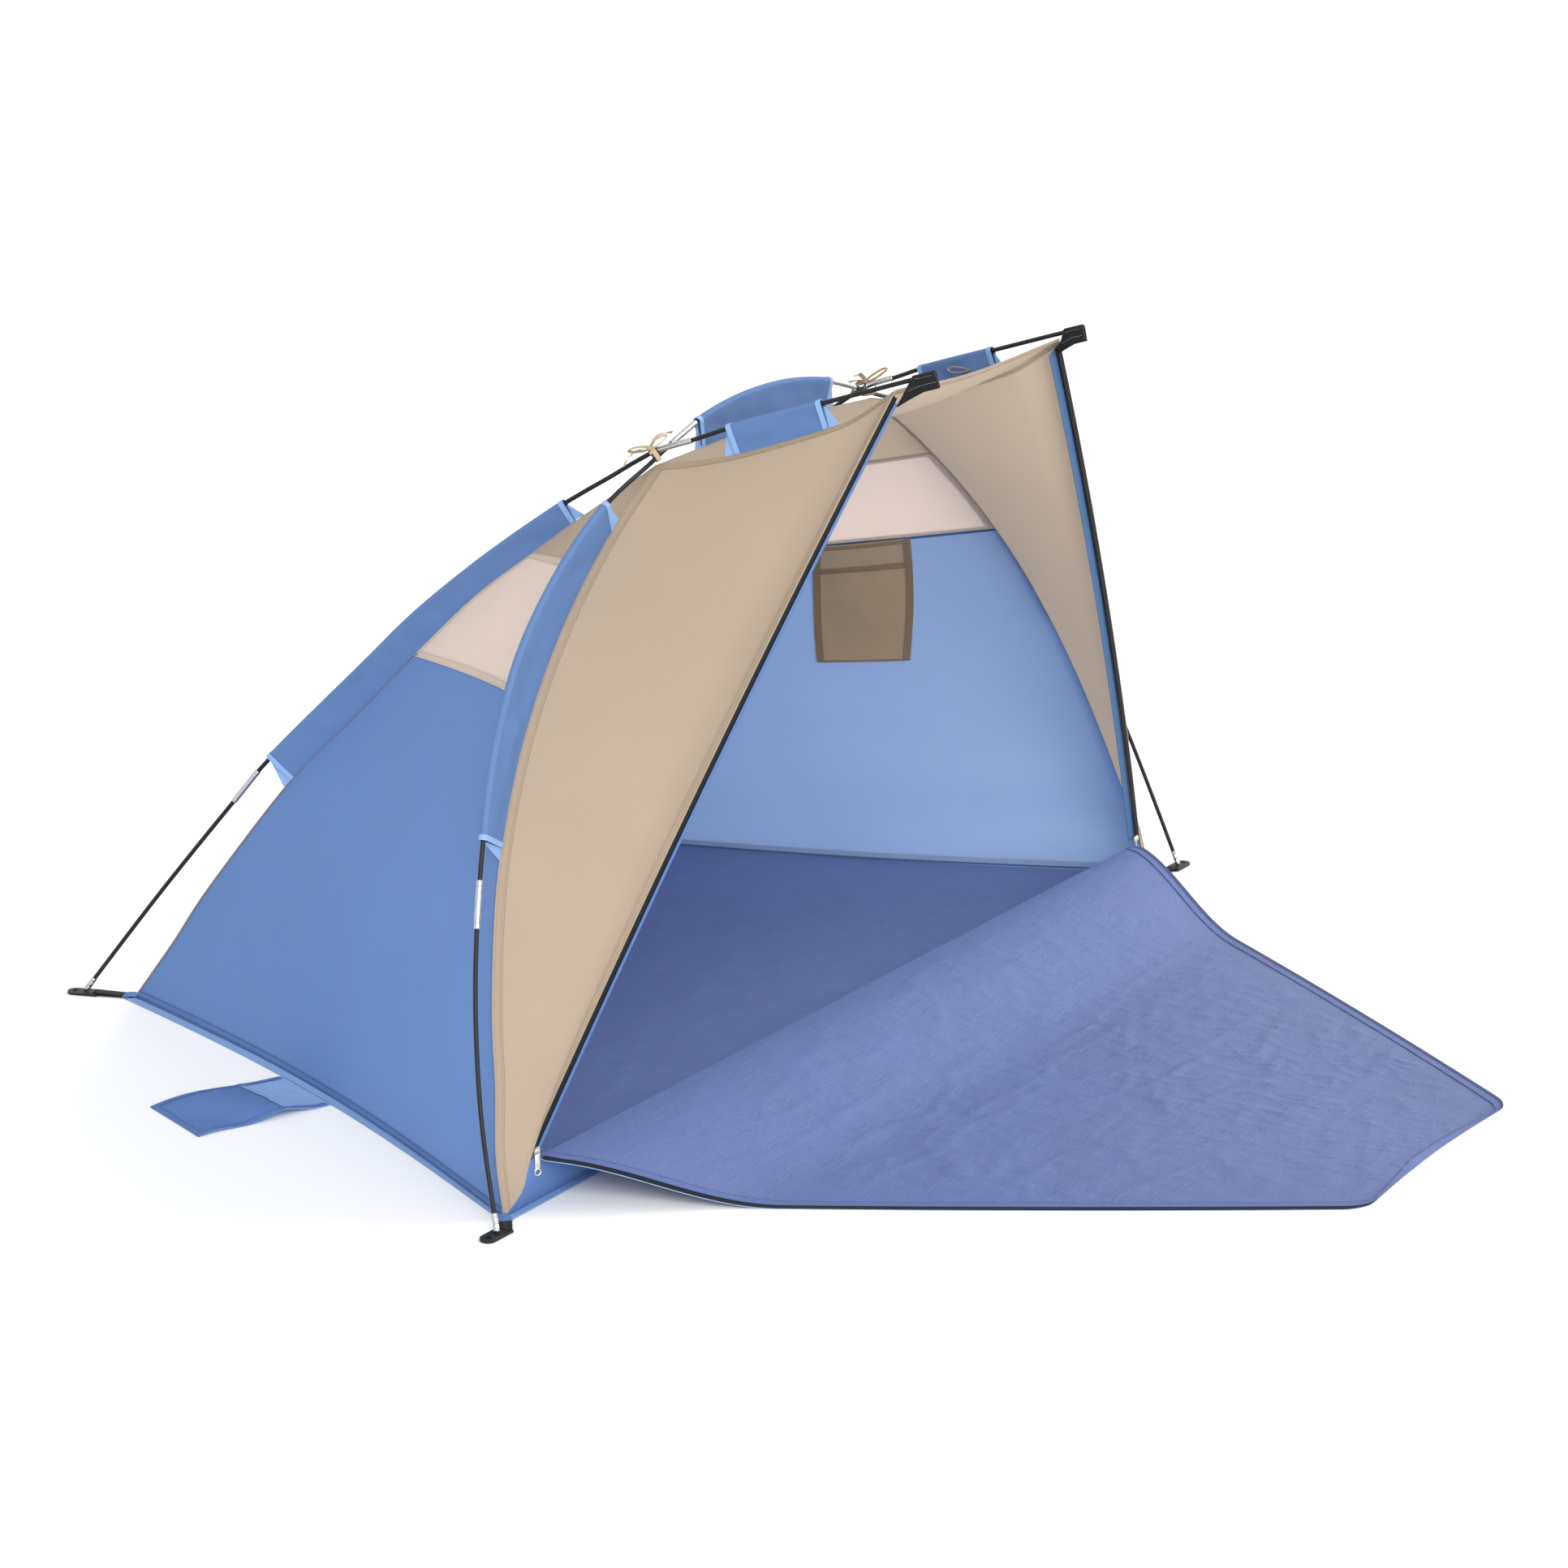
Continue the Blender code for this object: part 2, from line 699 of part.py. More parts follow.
def make_sill():
    # A low wall along the front, from the floor up to the line that the door turns on.
    low = front_corner - rightward * seam_inset * 2
    high = Vector((zip_edge[0].x - seam_inset * 2, zip_edge[0].y, sill_height - door_hinge_gap))
    grid = []
    for point in (low, low.lerp(high, 1 / 2), high):
        grid.append([Vector(((2 * column / door_columns - 1) * point.x, point.y, point.z))
                     for column in range(door_columns + 1)])
    cloth("sill_strip", grid, "blue_cloth")


def make_tape(name, side):
    edges = zip(zip_line(-zip_tape_width / 2, seam_rows), zip_line(zip_tape_width / 2, seam_rows))
    grid = draw_in([list(row) for row in edges], low=join_gap, high=seam_inset)
    cloth("zip_tape_" + name, [on_side(line, side) for line in grid], "zip_black")


def make_slider(name, side):
    # Front and back plates on a post, with the tape's edge between them on its outer side.
    share = slider_rise / (2 * zip_half_angle * zip_radius)
    offset = -(zip_tape_width / 2 + slider_clearance + slider_post_half)
    centre, ahead = on_side([zip_point(share, offset), zip_point(2 * share, offset)], side)
    along = (ahead - centre).normalized()
    axes = [along.cross(door_front).normalized(), along, door_front]
    slot_half = cloth_thickness / 2 + slider_clearance
    body_half = slot_half + slider_plate
    body = box("zip_slider_" + name, centre, axes, (slider_half_width, slider_length / 2, body_half),
               "zip_metal", pivot=centre)
    slot_reach = slider_half_width - slider_post_half
    tools = []
    for way in (-1, 1):
        middle = centre + axes[0] * (way * (slider_post_half + slot_reach))
        tools.append(box("slot", middle, axes, (slot_reach, slider_length, slot_half), "zip_metal"))
    combine(body, "DIFFERENCE", tools)
    # The bridge that holds the pull stands on the front plate.
    upright = [rightward, door_up, door_front]
    face = centre + door_front * body_half
    half_thick = bridge_thickness / 2
    leg_half = (bridge_headroom + bridge_thickness) / 2
    bridge = []
    for way in (-1, 1):
        middle = face + door_up * (way * (bridge_half_length - half_thick))
        middle += door_front * (leg_half - half_thick)
        bridge.append(box("leg", middle, upright, (bridge_half_width, half_thick, leg_half), "zip_metal"))
    top = face + door_front * (bridge_headroom + half_thick)
    bridge.append(box("top", top, upright, (bridge_half_width, bridge_half_length, half_thick), "zip_metal"))
    combine(body, "UNION", bridge)
    make_pull(name, face + door_front * (bridge_headroom / 2))


def make_pull(name, bar):
    # The pull hangs straight down from the bar that lies under the bridge.
    axes = [rightward, upward, backward]
    bar_half = pull_thickness / 2
    body = box("zip_pull_" + name, bar - upward * (pull_length / 2 - bar_half), axes,
               (pull_half_width, pull_length / 2, bar_half), "zip_metal", pivot=bar)
    slot = bar - upward * (bar_half + pull_slot_length / 2)
    hole = bar - upward * (pull_length - bar_half - pull_half_width)
    through = backward * pull_length
    combine(body, "DIFFERENCE", [
        box("slot", slot, axes, (pull_slot_half_width, pull_slot_length / 2, pull_length), "zip_metal"),
        cylinder("hole", hole - through, hole + through, pull_hole_radius, "zip_metal")])


# Sleeves: a fold of cloth round the pole, sewn down to the seam
def sleeve_ring(over, base, along, radius, base_half, arch=4):
    up = (over - base) - along * (over - base).dot(along)
    up.normalize()
    across = along.cross(up).normalized()
    ring = []
    for index in range(arch + 1):
        turn = math.pi * index / arch
        ring.append(over + across * (radius * math.cos(turn)) + up * (radius * math.sin(turn)))
    return ring + [base - across * base_half, base + across * base_half]


def sleeve(name, pole, seam, shares):
    # The rings stand on the seam's own points, so the fold's foot follows the panels' edges.
    marks = distances(seam)
    start, end = shares[0] * marks[-1], shares[1] * marks[-1]
    marks = sorted(marks + [(before + after) / 2 for before, after in zip(marks, marks[1:])])
    inside = [mark for mark in marks if start + station_step / 4 < mark < end - station_step / 4]
    radius = rod_radius + sleeve_clearance
    outer, inner = [], []
    for mark in [start] + inside + [end]:
        point = at_distance(seam, mark)
        over, along = nearest(pole.line, point)
        up = (over - point).normalized()
        base = point + up * sleeve_base_lift
        outer.append(sleeve_ring(over, base, along, radius + cloth_thickness, sleeve_base_half))
        inner.append(sleeve_ring(over, base + up * sleeve_base_height, along, radius, sleeve_slit_half))
    loft(name, outer + inner[::-1], "blue_cloth", closed=True)


def make_sleeves(name, side):
    sleeve("rear_sleeve_" + name, rear_poles[name], on_side(rear_seam, side), rear_sleeve_shares)
    sleeve("roof_sleeve_" + name, rear_poles[name], on_side(ridge_seam, side), roof_sleeve_shares)
    sleeve("side_sleeve_" + name, hoop_pole, on_side(hoop_seam, side), side_sleeve_shares)


def make_peak_pocket(name, side):
    # A cup of folded webbing in front of the peak, sewn on over the zip's end.
    pole = rear_poles[name]
    seat = cloth_thickness / 2 + touch_gap + pocket_seat
    sewn = on_side([peak - door_up * pocket_drop + door_front * seat], side)[0]
    marks = [pole.length - pocket_length, pole.length - pocket_length / 2, pole.length + pocket_clearance,
             pole.length + pocket_overhang]
    radius = rod_radius + pocket_clearance
    outer, inner = [], []
    for mark in marks:
        over, along, _ = pole.frame(mark)
        base = over - (upward - along * along.z).normalized() * pocket_drop
        if mark == marks[0]:
            base = sewn
        outer.append(sleeve_ring(over, base, along, radius + pocket_wall, pocket_base_half))
        if mark < marks[-1]:
            slit = base.lerp(over, pocket_slit_share)
            inner.append(sleeve_ring(over, slit, along, radius, pocket_slit_half))
    loft("peak_pocket_" + name, inner[::-1] + outer, "black_webbing")


# Feet: a plate with a pin under each pole, strapped to the floor's corner
def make_foot(name, pole, at_start, corner, out):
    foot = pole.line[0] if at_start else pole.line[-1]
    step = pole.steps[0] if at_start else -pole.steps[-1]
    pin = Vector((foot.x, foot.y, 0))
    across = upward.cross(out)
    axes = [out, across, upward]
    window = pin + out * (plate_nose - plate_half_width)
    points = []
    for index in range(round_segments + 1):
        turn = math.pi * (index / round_segments - 1 / 2)
        points.append(window + out * (plate_half_width * math.cos(turn))
                      + across * (plate_half_width * math.sin(turn)))
    points += [pin - out * plate_bar + across * (way * plate_half_width) for way in (1, -1)]
    plate = loft("ground_plate_" + name, [points, [point + upward * plate_thickness for point in points]],
                 "black_plastic")
    bar_half = plate_bar_width / 2
    slot_half = plate_slot_width / 2
    bar = pin - out * (plate_bar - bar_half)
    slot = bar + out * (bar_half + slot_half)
    through = upward * plate_thickness * 2
    # The bar's underside is raised, so the strap passes under it clear of the ground.
    combine(plate, "DIFFERENCE", [
        box("slot", slot, axes, (slot_half, plate_slot_length / 2, through.z), "steel"),
        box("under", bar, axes, (bar_half + slot_half, strap_width / 2 + touch_gap, plate_bar_lift),
            "steel"),
        cylinder("window", window - through, window + through, plate_window_radius, "steel")])
    root = foot - step * ((foot.z - plate_thickness / 2) / step.z)
    stud = cylinder("pin", root, foot + step * pin_height, pin_radius, "steel", rod_sides)
    combine(plate, "UNION", [stud])
    make_strap(name, pin, out, across, Vector((corner.x, corner.y, 0)))


def make_strap(name, pin, out, across, corner):
    # One ribbon: out from the corner, down through the slot, round the bar and back under itself.
    half = strap_thickness / 2
    ply = strap_thickness + strap_ply_gap
    toward = (pin - out * plate_bar - corner).normalized()
    beside = upward.cross(toward)
    inner_end = corner + toward * strap_end_gap
    lifted = corner + toward * floor_flange * 2
    rest = cloth_thickness + touch_gap + half
    over_bar = plate_thickness + touch_gap + half
    under_bar = plate_bar_lift - touch_gap - half
    bar_end = -(plate_bar + touch_gap)
    slot_middle = plate_bar_width + plate_slot_width / 2 - plate_bar
    turn = [(bar_end, over_bar), (slot_middle - strap_thickness, over_bar),
            (slot_middle, over_bar - strap_thickness), (slot_middle, under_bar + strap_thickness),
            (slot_middle - strap_thickness, under_bar), (bar_end, under_bar)]
    path = [inner_end + upward * (rest + ply), lifted + upward * (rest + ply)]
    path += [pin + out * away + upward * height for away, height in turn]
    path += [lifted + upward * rest, inner_end + upward * rest]
    # The webbing's width turns from square to its run, at the corner, to along the bar.
    ways = [beside] * 2 + [across] * len(turn) + [beside] * 2
    loft("corner_strap_" + name, twisted_ribbon(path, ways, strap_width, strap_thickness), "black_webbing")


def ribbon(path, width_way, width, thickness, closed=False):
    return twisted_ribbon(path, [width_way] * len(path), width, thickness, closed)


def twisted_ribbon(path, width_ways, width, thickness, closed=False):
    rings = []
    for index, point in enumerate(path):
        if closed:
            before, after = path[index - 1], path[(index + 1) % len(path)]
        else:
            before, after = path[max(index - 1, 0)], path[min(index + 1, len(path) - 1)]
        width_way = width_ways[index]
        over = (after - before).normalized().cross(width_way).normalized()
        rings.append([point + over * (a * thickness / 2) + width_way * (b * width / 2)
                      for a, b in ((-1, -1), (1, -1), (1, 1), (-1, 1))])
    return rings


# Ties: a band round both poles where they cross, knotted in a bow on top
def make_tie(name, side):
    high = on_side([crossing], side)[0]
    for _ in range(curve_steps):
        low, low_way = nearest(hoop_pole.line, high)
        high, high_way = nearest(rear_poles[name].line, low)
    up = (high - low).normalized()
    along = (high_way - up * high_way.dot(up)).normalized()
    across = (low_way - up * low_way.dot(up)).normalized() * side
    plane_way = (along + across).normalized()
    width_way = up.cross(plane_way).normalized()
    clear = tie_band_clearance + tie_thickness / 2
    bottom = low - up * (rod_radius + clear)
    top = high + up * (rod_radius + rod_clearance + ferrule_wall + clear)
    corner = tie_band_half / 3
    path = []
    for way, middle, rise in ((1, top, -1), (1, bottom, 1), (-1, bottom, 1), (-1, top, -1)):
        flat = middle + plane_way * (way * (tie_band_half - corner))
        upright = middle + up * (rise * corner) + plane_way * (way * tie_band_half)
        path += [flat, upright] if way * rise < 0 else [upright, flat]
    band = loft("tie_bow_" + name, ribbon(path, width_way, tie_width, tie_thickness, True), "tie_tape", True)
    knot_half = tie_knot_size / 2
    seat = top + up * (knot_half / 2)
    axes = [plane_way, width_way, up]
    tools = [box("knot", seat, axes, (knot_half, knot_half, knot_half / 2), "tie_tape")]
    for way in (-1, 1):
        # A loop and a tail spread from the knot on each side.
        reach = (along * way + plane_way * way / 2).normalized()
        path = []
        for step in range(tie_loop_steps):
            turn = math.tau * step / tie_loop_steps
            away = (1 - math.cos(turn)) / 2
            lift = up * (tie_loop_half * (math.sin(turn) / 2 + away))
            path.append(seat + lift + reach * (tie_loop_length * away))
        flat_way = up.cross(reach).normalized()
        tools.append(loft("loop", ribbon(path, flat_way, tie_width, tie_thickness, True), "tie_tape", True))
        spread = (width_way * way - plane_way / 2).normalized()
        path = []
        for step in range(tie_loop_steps + 1):
            share = step / tie_loop_steps
            rise = tie_loop_half * math.sin(math.pi * share)
            path.append(seat + spread * (tie_tail_length * share) + up * rise)
        flat_way = up.cross(spread).normalized()
        tools.append(loft("tail", ribbon(path, flat_way, tie_width, tie_thickness), "tie_tape"))
    combine(band, "UNION", tools)


# Sand flaps and the storage pocket
def make_flap(name, side):
    # The root is straight and the floor's edge is curved, so they are nearest at the root's ends.
    edge = floor_edge(side)
    middle = (1 - flap_share) * distances(edge)[-1]
    rear, front = [at_distance(edge, middle + way * flap_width / 2) for way in (-1, 1)]
    out = upward.cross(front - rear).normalized() * side
    along = upward.cross(out)
    root = (rear + front) / 2 + out * flap_gap
    grid = []
    for row in range(flap_rows + 1):
        v = row / flap_rows
        line = []
        for column in range(flap_columns + 1):
            u = 2 * column / flap_columns - 1
            wave = flap_wave * math.sin(math.pi * v) * (1 - math.cos(math.tau * v * (1 + u / 2))) / 2
            point = root + out * (flap_length * v) + along * (u * flap_width / 2)
            line.append(point + upward * (cloth_thickness / 2 + wave))
        grid.append(line)
    pivot = root - out * (flap_gap / 2) + upward * cloth_thickness
    cloth("sand_flap_" + name, grid, "blue_cloth", pivot=pivot)


def make_storage_pocket():
    wall = copy_rows(wall_grid(1), 0, side_rows[0])
    grid = []
    for row in range(store_rows + 1):
        v = row / store_rows
        rear, front = [low + (high - low) * v
                       for low, high in zip(store_bottom_edge_shares, store_top_edge_shares)]
        line = []
        for column in range(store_columns + 1):
            u = column / store_columns
            share = rear + (front - rear) * u
            upright = [at_distance(level, share * distances(level)[-1]) for level in wall]
            height = store_bottom_share + (1 - store_bottom_share) * v
            bulge = store_bulge * math.sin(math.pi * u) * math.sin(math.pi / 2 * v)
            point = at_distance(upright, height * distances(upright)[-1])
            line.append(point - rightward * (store_standoff + bulge))
        grid.append(line)
    cloth("storage_pocket", grid, "pocket_cloth")


# Rods, ferrules and feet
def make_hoop():
    half_gap = rod_end_gap / 2
    middle = hoop_pole.length / 2
    joints = (hoop_foot_rod_length, middle - hoop_top_rod_length / 2,
              middle + hoop_top_rod_length / 2, hoop_pole.length - hoop_foot_rod_length)
    hoop_pole.foot_rod("hoop_foot_rod_left", hoop_foot_rod_length - half_gap)
    hoop_pole.foot_rod("hoop_foot_rod_right", hoop_foot_rod_length - half_gap, from_start=False)
    rods = ("hoop_side_rod_left", "hoop_top_rod", "hoop_side_rod_right")
    for name, start, end in zip(rods, joints, joints[1:]):
        hoop_pole.rod(name, start + half_gap, end - half_gap)
    ferrules = ("side_ferrule_left", "top_ferrule_left", "top_ferrule_right", "side_ferrule_right")
    for name, joint in zip(ferrules, joints):
        hoop_pole.ferrule(name, joint)
    make_foot("front_left", hoop_pole, True, mirrored([front_corner])[0], -rightward)
    make_foot("front_right", hoop_pole, False, front_corner, rightward)


def make_rear_pole(name, side):
    pole = rear_poles[name]
    half_gap = rod_end_gap / 2
    upper_joint = pole.length - peak_rod_length
    pole.foot_rod("rear_foot_rod_" + name, rear_foot_rod_length - half_gap)
    pole.rod("rear_middle_rod_" + name, rear_foot_rod_length + half_gap, upper_joint - half_gap)
    pole.rod("rear_peak_rod_" + name, upper_joint + half_gap, pole.length)
    pole.ferrule("rear_ferrule_" + name, rear_foot_rod_length)
    pole.ferrule("crossing_ferrule_" + name, upper_joint)
    corner = on_side([rear_corner], side)[0]
    out = pole.line[0] - corner
    out.z = 0
    make_foot("rear_" + name, pole, True, corner, out.normalized())


make_back()
make_roof()
make_floor()
make_sill()
make_door()
make_storage_pocket()
make_hoop()
sleeve("top_sleeve", hoop_pole, hoop_top, top_sleeve_shares)
for side_name, side_way in sides.items():
    make_side(side_name, side_way)
    make_front(side_name, side_way)
    make_tape(side_name, side_way)
    make_slider(side_name, side_way)
    make_rear_pole(side_name, side_way)
    make_sleeves(side_name, side_way)
    make_peak_pocket(side_name, side_way)
    make_tie(side_name, side_way)
    make_flap(side_name, side_way)
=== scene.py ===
import math

import bpy
import numpy as np
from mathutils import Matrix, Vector, noise


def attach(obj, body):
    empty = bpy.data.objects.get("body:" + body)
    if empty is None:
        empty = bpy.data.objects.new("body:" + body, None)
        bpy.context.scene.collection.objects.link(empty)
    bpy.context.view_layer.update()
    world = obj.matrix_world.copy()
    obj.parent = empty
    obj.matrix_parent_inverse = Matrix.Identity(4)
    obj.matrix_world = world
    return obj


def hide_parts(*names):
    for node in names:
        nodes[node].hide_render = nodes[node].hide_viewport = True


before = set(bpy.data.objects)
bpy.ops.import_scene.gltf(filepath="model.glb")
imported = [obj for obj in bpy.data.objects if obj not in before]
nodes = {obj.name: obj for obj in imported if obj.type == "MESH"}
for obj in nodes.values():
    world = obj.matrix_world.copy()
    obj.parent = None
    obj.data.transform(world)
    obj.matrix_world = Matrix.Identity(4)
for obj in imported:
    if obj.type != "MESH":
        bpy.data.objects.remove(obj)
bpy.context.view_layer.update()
print("frame loaded")

tent = {  # the lines that all cloth is cut to, in metres
    "halfWidth": 1.000,
    "depth": 1.165,
    "height": 0.943,
    "originShare": 0.4785,
    "clothThickness": 0.0008,
    "hemHeight": 0.0017,
    "floorFlange": 0.014,
    "sideHemBow": 0.036,
    "rearHemBow": 0.025,
    "backSag": 0.020,
    "roofSag": 0.012,
    "frontSag": 0.012,
    "windowRear": (0.612, 0.789),
    "windowFront": (0.661, 0.823),
    "wallRows": (0, 9, 12, 16),
    "middle": (0, -0.10, 0.35),
    "insideCoatAndLightMiddle": (0, 0.10, 0.35),
    "leastFill": 0.301,  # of its flat cut, by a sheet
}
seamShares = {  # shares of the half width, the depth and the height
    "frontCorner": (0.945, 0.026, 0.0),
    "rearCorner": (0.535, 0.931, 0.0),
    "crossing": (0.298, 0.182, 1.000),
    "peak": (0.232, -0.146, 1.1506),
    "topCentre": (0.0, 0.184, 1.010),
    "poleTop": (0.0, 0.184, 1.072),
    "eaveCentre": (0.0, -0.131, 1.136),
    "hoopSeam": (
        (0.937, 0.041, 0.092), (0.906, 0.060, 0.183), (0.880, 0.080, 0.275), (0.848, 0.098, 0.366),
        (0.809, 0.116, 0.458), (0.760, 0.132, 0.549), (0.699, 0.147, 0.641), (0.624, 0.160, 0.733),
        (0.533, 0.171, 0.824), (0.425, 0.179, 0.913)),
    "rearSeam": (
        (0.515, 0.874, 0.105), (0.493, 0.816, 0.217), (0.450, 0.698, 0.414), (0.419, 0.609, 0.532),
        (0.390, 0.521, 0.649), (0.364, 0.435, 0.757), (0.341, 0.355, 0.837), (0.323, 0.291, 0.900)),
    "ridgeSeam": (
        (0.283, 0.137, 1.008), (0.269, 0.076, 1.027), (0.256, 0.016, 1.052), (0.243, -0.057, 1.086),
        (0.237, -0.093, 1.108)),
    "hoopTop": ((0.172, 0.183, 1.006), (0.090, 0.184, 1.009)),
    "hoopPole": (
        (1.000, 0.000, 0.000), (0.974, 0.035, 0.140), (0.945, 0.061, 0.251), (0.908, 0.085, 0.362),
        (0.857, 0.110, 0.479), (0.801, 0.131, 0.600), (0.753, 0.144, 0.687), (0.672, 0.160, 0.791),
        (0.554, 0.172, 0.891), (0.430, 0.179, 0.964), (0.300, 0.182, 1.0100), (0.249, 0.183, 1.030),
        (0.180, 0.184, 1.051), (0.090, 0.184, 1.067)),
    "rearPole": (
        (0.565, 1.000, 0.000), (0.519, 0.886, 0.200), (0.478, 0.778, 0.372), (0.458, 0.721, 0.458),
        (0.412, 0.590, 0.627), (0.388, 0.514, 0.723), (0.358, 0.417, 0.826), (0.329, 0.315, 0.920),
        (0.314, 0.259, 0.964), (0.298, 0.182, 1.0238), (0.285, 0.142, 1.041), (0.270, 0.080, 1.071),
        (0.245, -0.036, 1.119), (0.2235, -0.148, 1.165), (0.2165, -0.188, 1.181)),
}
zipLine = {"footShare": 0.893, "footBackShare": 0.0206, "footHeight": 0.070, "bow": 0.018, "tapeWidth": 0.012}
sideWays = {"left": -1, "right": 1}
rightward = np.array((1.0, 0.0, 0.0))
backward = np.array((0.0, 1.0, 0.0))
upward = np.array((0.0, 0.0, 1.0))


def unit(values):
    return values / np.linalg.norm(values, axis=-1, keepdims=True)


# Curves, as arrays of points
def spot(shares, side=1):
    across, back, up = shares
    return np.array((side * across * tent["halfWidth"], (back - tent["originShare"]) * tent["depth"],
                     up * tent["height"]))


def smoothCurve(points, steps=20):
    points = [np.asarray(point, float) for point in points]
    padded = [2 * points[0] - points[1]] + points + [2 * points[-1] - points[-2]]
    curve = []
    for before, start, end, after in zip(padded, padded[1:], padded[2:], padded[3:]):
        for step in range(steps):
            t = step / steps
            curve.append((2 * start + (end - before) * t + (2 * before - 5 * start + 4 * end - after) * t ** 2
                          + (3 * start - before - 3 * end + after) * t ** 3) / 2)
    return np.array(curve + [points[-1]])


def reach(curve):
    return np.concatenate(([0], np.cumsum(np.linalg.norm(np.diff(curve, axis=0), axis=1))))


def atDistance(curve, distance):
    marks = reach(curve)
    return np.stack([np.interp(distance, marks, curve[:, axis]) for axis in range(3)], -1)


def atShare(curve, share):
    return atDistance(curve, np.asarray(share) * reach(curve)[-1])


def onSide(points, side):
    return points * np.array((side, 1, 1))


def nearestOn(curve, point):
    # The nearest point of a curve and the curve's direction there.
    starts, steps = curve[:-1], np.diff(curve, axis=0)
    share = np.clip(((point - starts) * steps).sum(1) / (steps ** 2).sum(1), 0, 1)
    found = starts + steps * share[:, None]
    best = np.argmin(((found - point) ** 2).sum(1))
    return found[best], unit(steps[best])


frontCorner = spot(seamShares["frontCorner"]) + upward * tent["hemHeight"]
rearCorner = spot(seamShares["rearCorner"]) + upward * tent["hemHeight"]
crossing = spot(seamShares["crossing"])
peak = spot(seamShares["peak"])
zipFoot = spot((zipLine["footShare"], zipLine["footBackShare"], 0)) + upward * zipLine["footHeight"]
zipChord = peak - zipFoot
zipWay = unit(zipChord)
doorUp = unit(zipChord * np.array((0, 1, 1)))
doorFront = np.cross(rightward, doorUp)
zipOut = unit(np.cross(zipWay, doorFront))
zipRadius = (np.linalg.norm(zipChord) ** 2 / 4 + zipLine["bow"] ** 2) / (2 * zipLine["bow"])
zipCentre = zipFoot + zipChord / 2 - zipOut * (zipRadius - zipLine["bow"])
zipHalfAngle = math.asin(np.linalg.norm(zipChord) / 2 / zipRadius)
zipLength = 2 * zipHalfAngle * zipRadius


def zipAt(share, offset=0.0):
    turn = (2 * np.asarray(share, float)[..., None] - 1) * zipHalfAngle
    return zipCentre + (zipOut * np.cos(turn) + zipWay * np.sin(turn)) * (zipRadius + offset)


def besideZip(share, offset):
    # A line beside the zip, cut off level with the sill at its foot.
    foot = -offset * zipOut[2] / zipWay[2] / zipLength
    return zipAt(foot + (1 - foot) * np.asarray(share, float), offset)


def sideSeam(shares, corner, window):
    curve = smoothCurve([corner] + [spot(row) for row in shares] + [crossing])
    marks = reach(curve)
    knots = [0, np.interp(window[0], curve[:, 2], marks), np.interp(window[1], curve[:, 2], marks), marks[-1]]
    return lambda row: atDistance(curve, np.interp(row, tent["wallRows"], knots))


def acrossCurve(points):
    # From the left end to the right, from the right half's points and the middle's.
    return smoothCurve([onSide(point, -1) for point in points[:-1]] + points[::-1])


hoopSeam = sideSeam(seamShares["hoopSeam"], frontCorner, tent["windowFront"])
rearSeam = sideSeam(seamShares["rearSeam"], rearCorner, tent["windowRear"])
zipEdgeOffset = zipLine["tapeWidth"] / 2 + tent["clothThickness"]
zipEdgeTop = besideZip(1.0, zipEdgeOffset)
zipEdgeFoot = besideZip(0.0, zipEdgeOffset)
ridgeSeam = smoothCurve([crossing] + [spot(row) for row in seamShares["ridgeSeam"]] + [zipEdgeTop])
hoopTop = acrossCurve([crossing] + [spot(row) for row in (*seamShares["hoopTop"], seamShares["topCentre"])])
eave = acrossCurve([zipEdgeTop, spot(seamShares["eaveCentre"])])
rearHem = acrossCurve([rearCorner, np.array((0, rearCorner[1] - tent["rearHemBow"], rearCorner[2]))])


# Grids of points, row by row
noiseShape = {"spread": 2.0, "octaves": 2, "seedStep": (7.3, 3.1, 1.7)}
seeds = {
    "wall": 3, "front": 8, "back": 12, "roof": 21, "floor": 31, "door": 47, "sill": 51, "topSleeve": 61,
    "rearSleeve": 62, "roofSleeve": 66, "sideSleeve": 70, "flapSeam": 81, "flap": 83, "storage": 91}


def shares(count):
    return np.linspace(0, 1, count + 1)


def wallGrid(rows, columns, side):
    u = shares(columns)[None, :, None]
    rear, front = rearSeam(rows)[:, None], hoopSeam(rows)[:, None]
    bow = tent["sideHemBow"] * (1 - rear[..., 2:] / tent["height"])
    return onSide(rear * (1 - u) + front * u - rightward * bow * np.sin(np.pi * u), side)


def patch(low, high, left, right):
    v, u = shares(len(left) - 1)[:, None, None], shares(len(low) - 1)[None, :, None]
    ends = ((1 - u) * (1 - v) * low[0] + u * (1 - v) * low[-1] + (1 - u) * v * high[0] + u * v * high[-1])
    return (1 - v) * low[None] + v * high[None] + (1 - u) * left[:, None] + u * right[:, None] - ends


def circle(count):
    return (np.arange(count) * math.tau / count)[:, None]


def edgeMask(grid, power=1.0):
    v, u = shares(grid.shape[0] - 1)[:, None], shares(grid.shape[1] - 1)[None]
    return (np.sin(np.pi * v) * np.sin(np.pi * u)).clip(0) ** power


def heldEdges(grid, sharpness):
    # 1 over most of a grid, and 0 at its edges.
    return np.minimum(1, edgeMask(grid) * sharpness)


def foldRing(over, along, base, radius, half, turns, rise):
    # One ring of a folded strip of cloth: up one side, over a pole and down the other.
    up = unit((over - base) - along * ((over - base) @ along))
    across = unit(np.cross(along, up))
    arch = over + across * (radius * np.cos(turns)) + up * (radius * np.sin(turns))
    first, last = base + across * half, base - across * half
    return np.concatenate((first + (arch[0] - first) * rise[:-1], arch,
                           last + (arch[-1] - last) * (1 - rise[1:])))


def gridNormals(grid):
    return unit(np.cross(np.gradient(grid, axis=1), np.gradient(grid, axis=0)) + 1e-12)


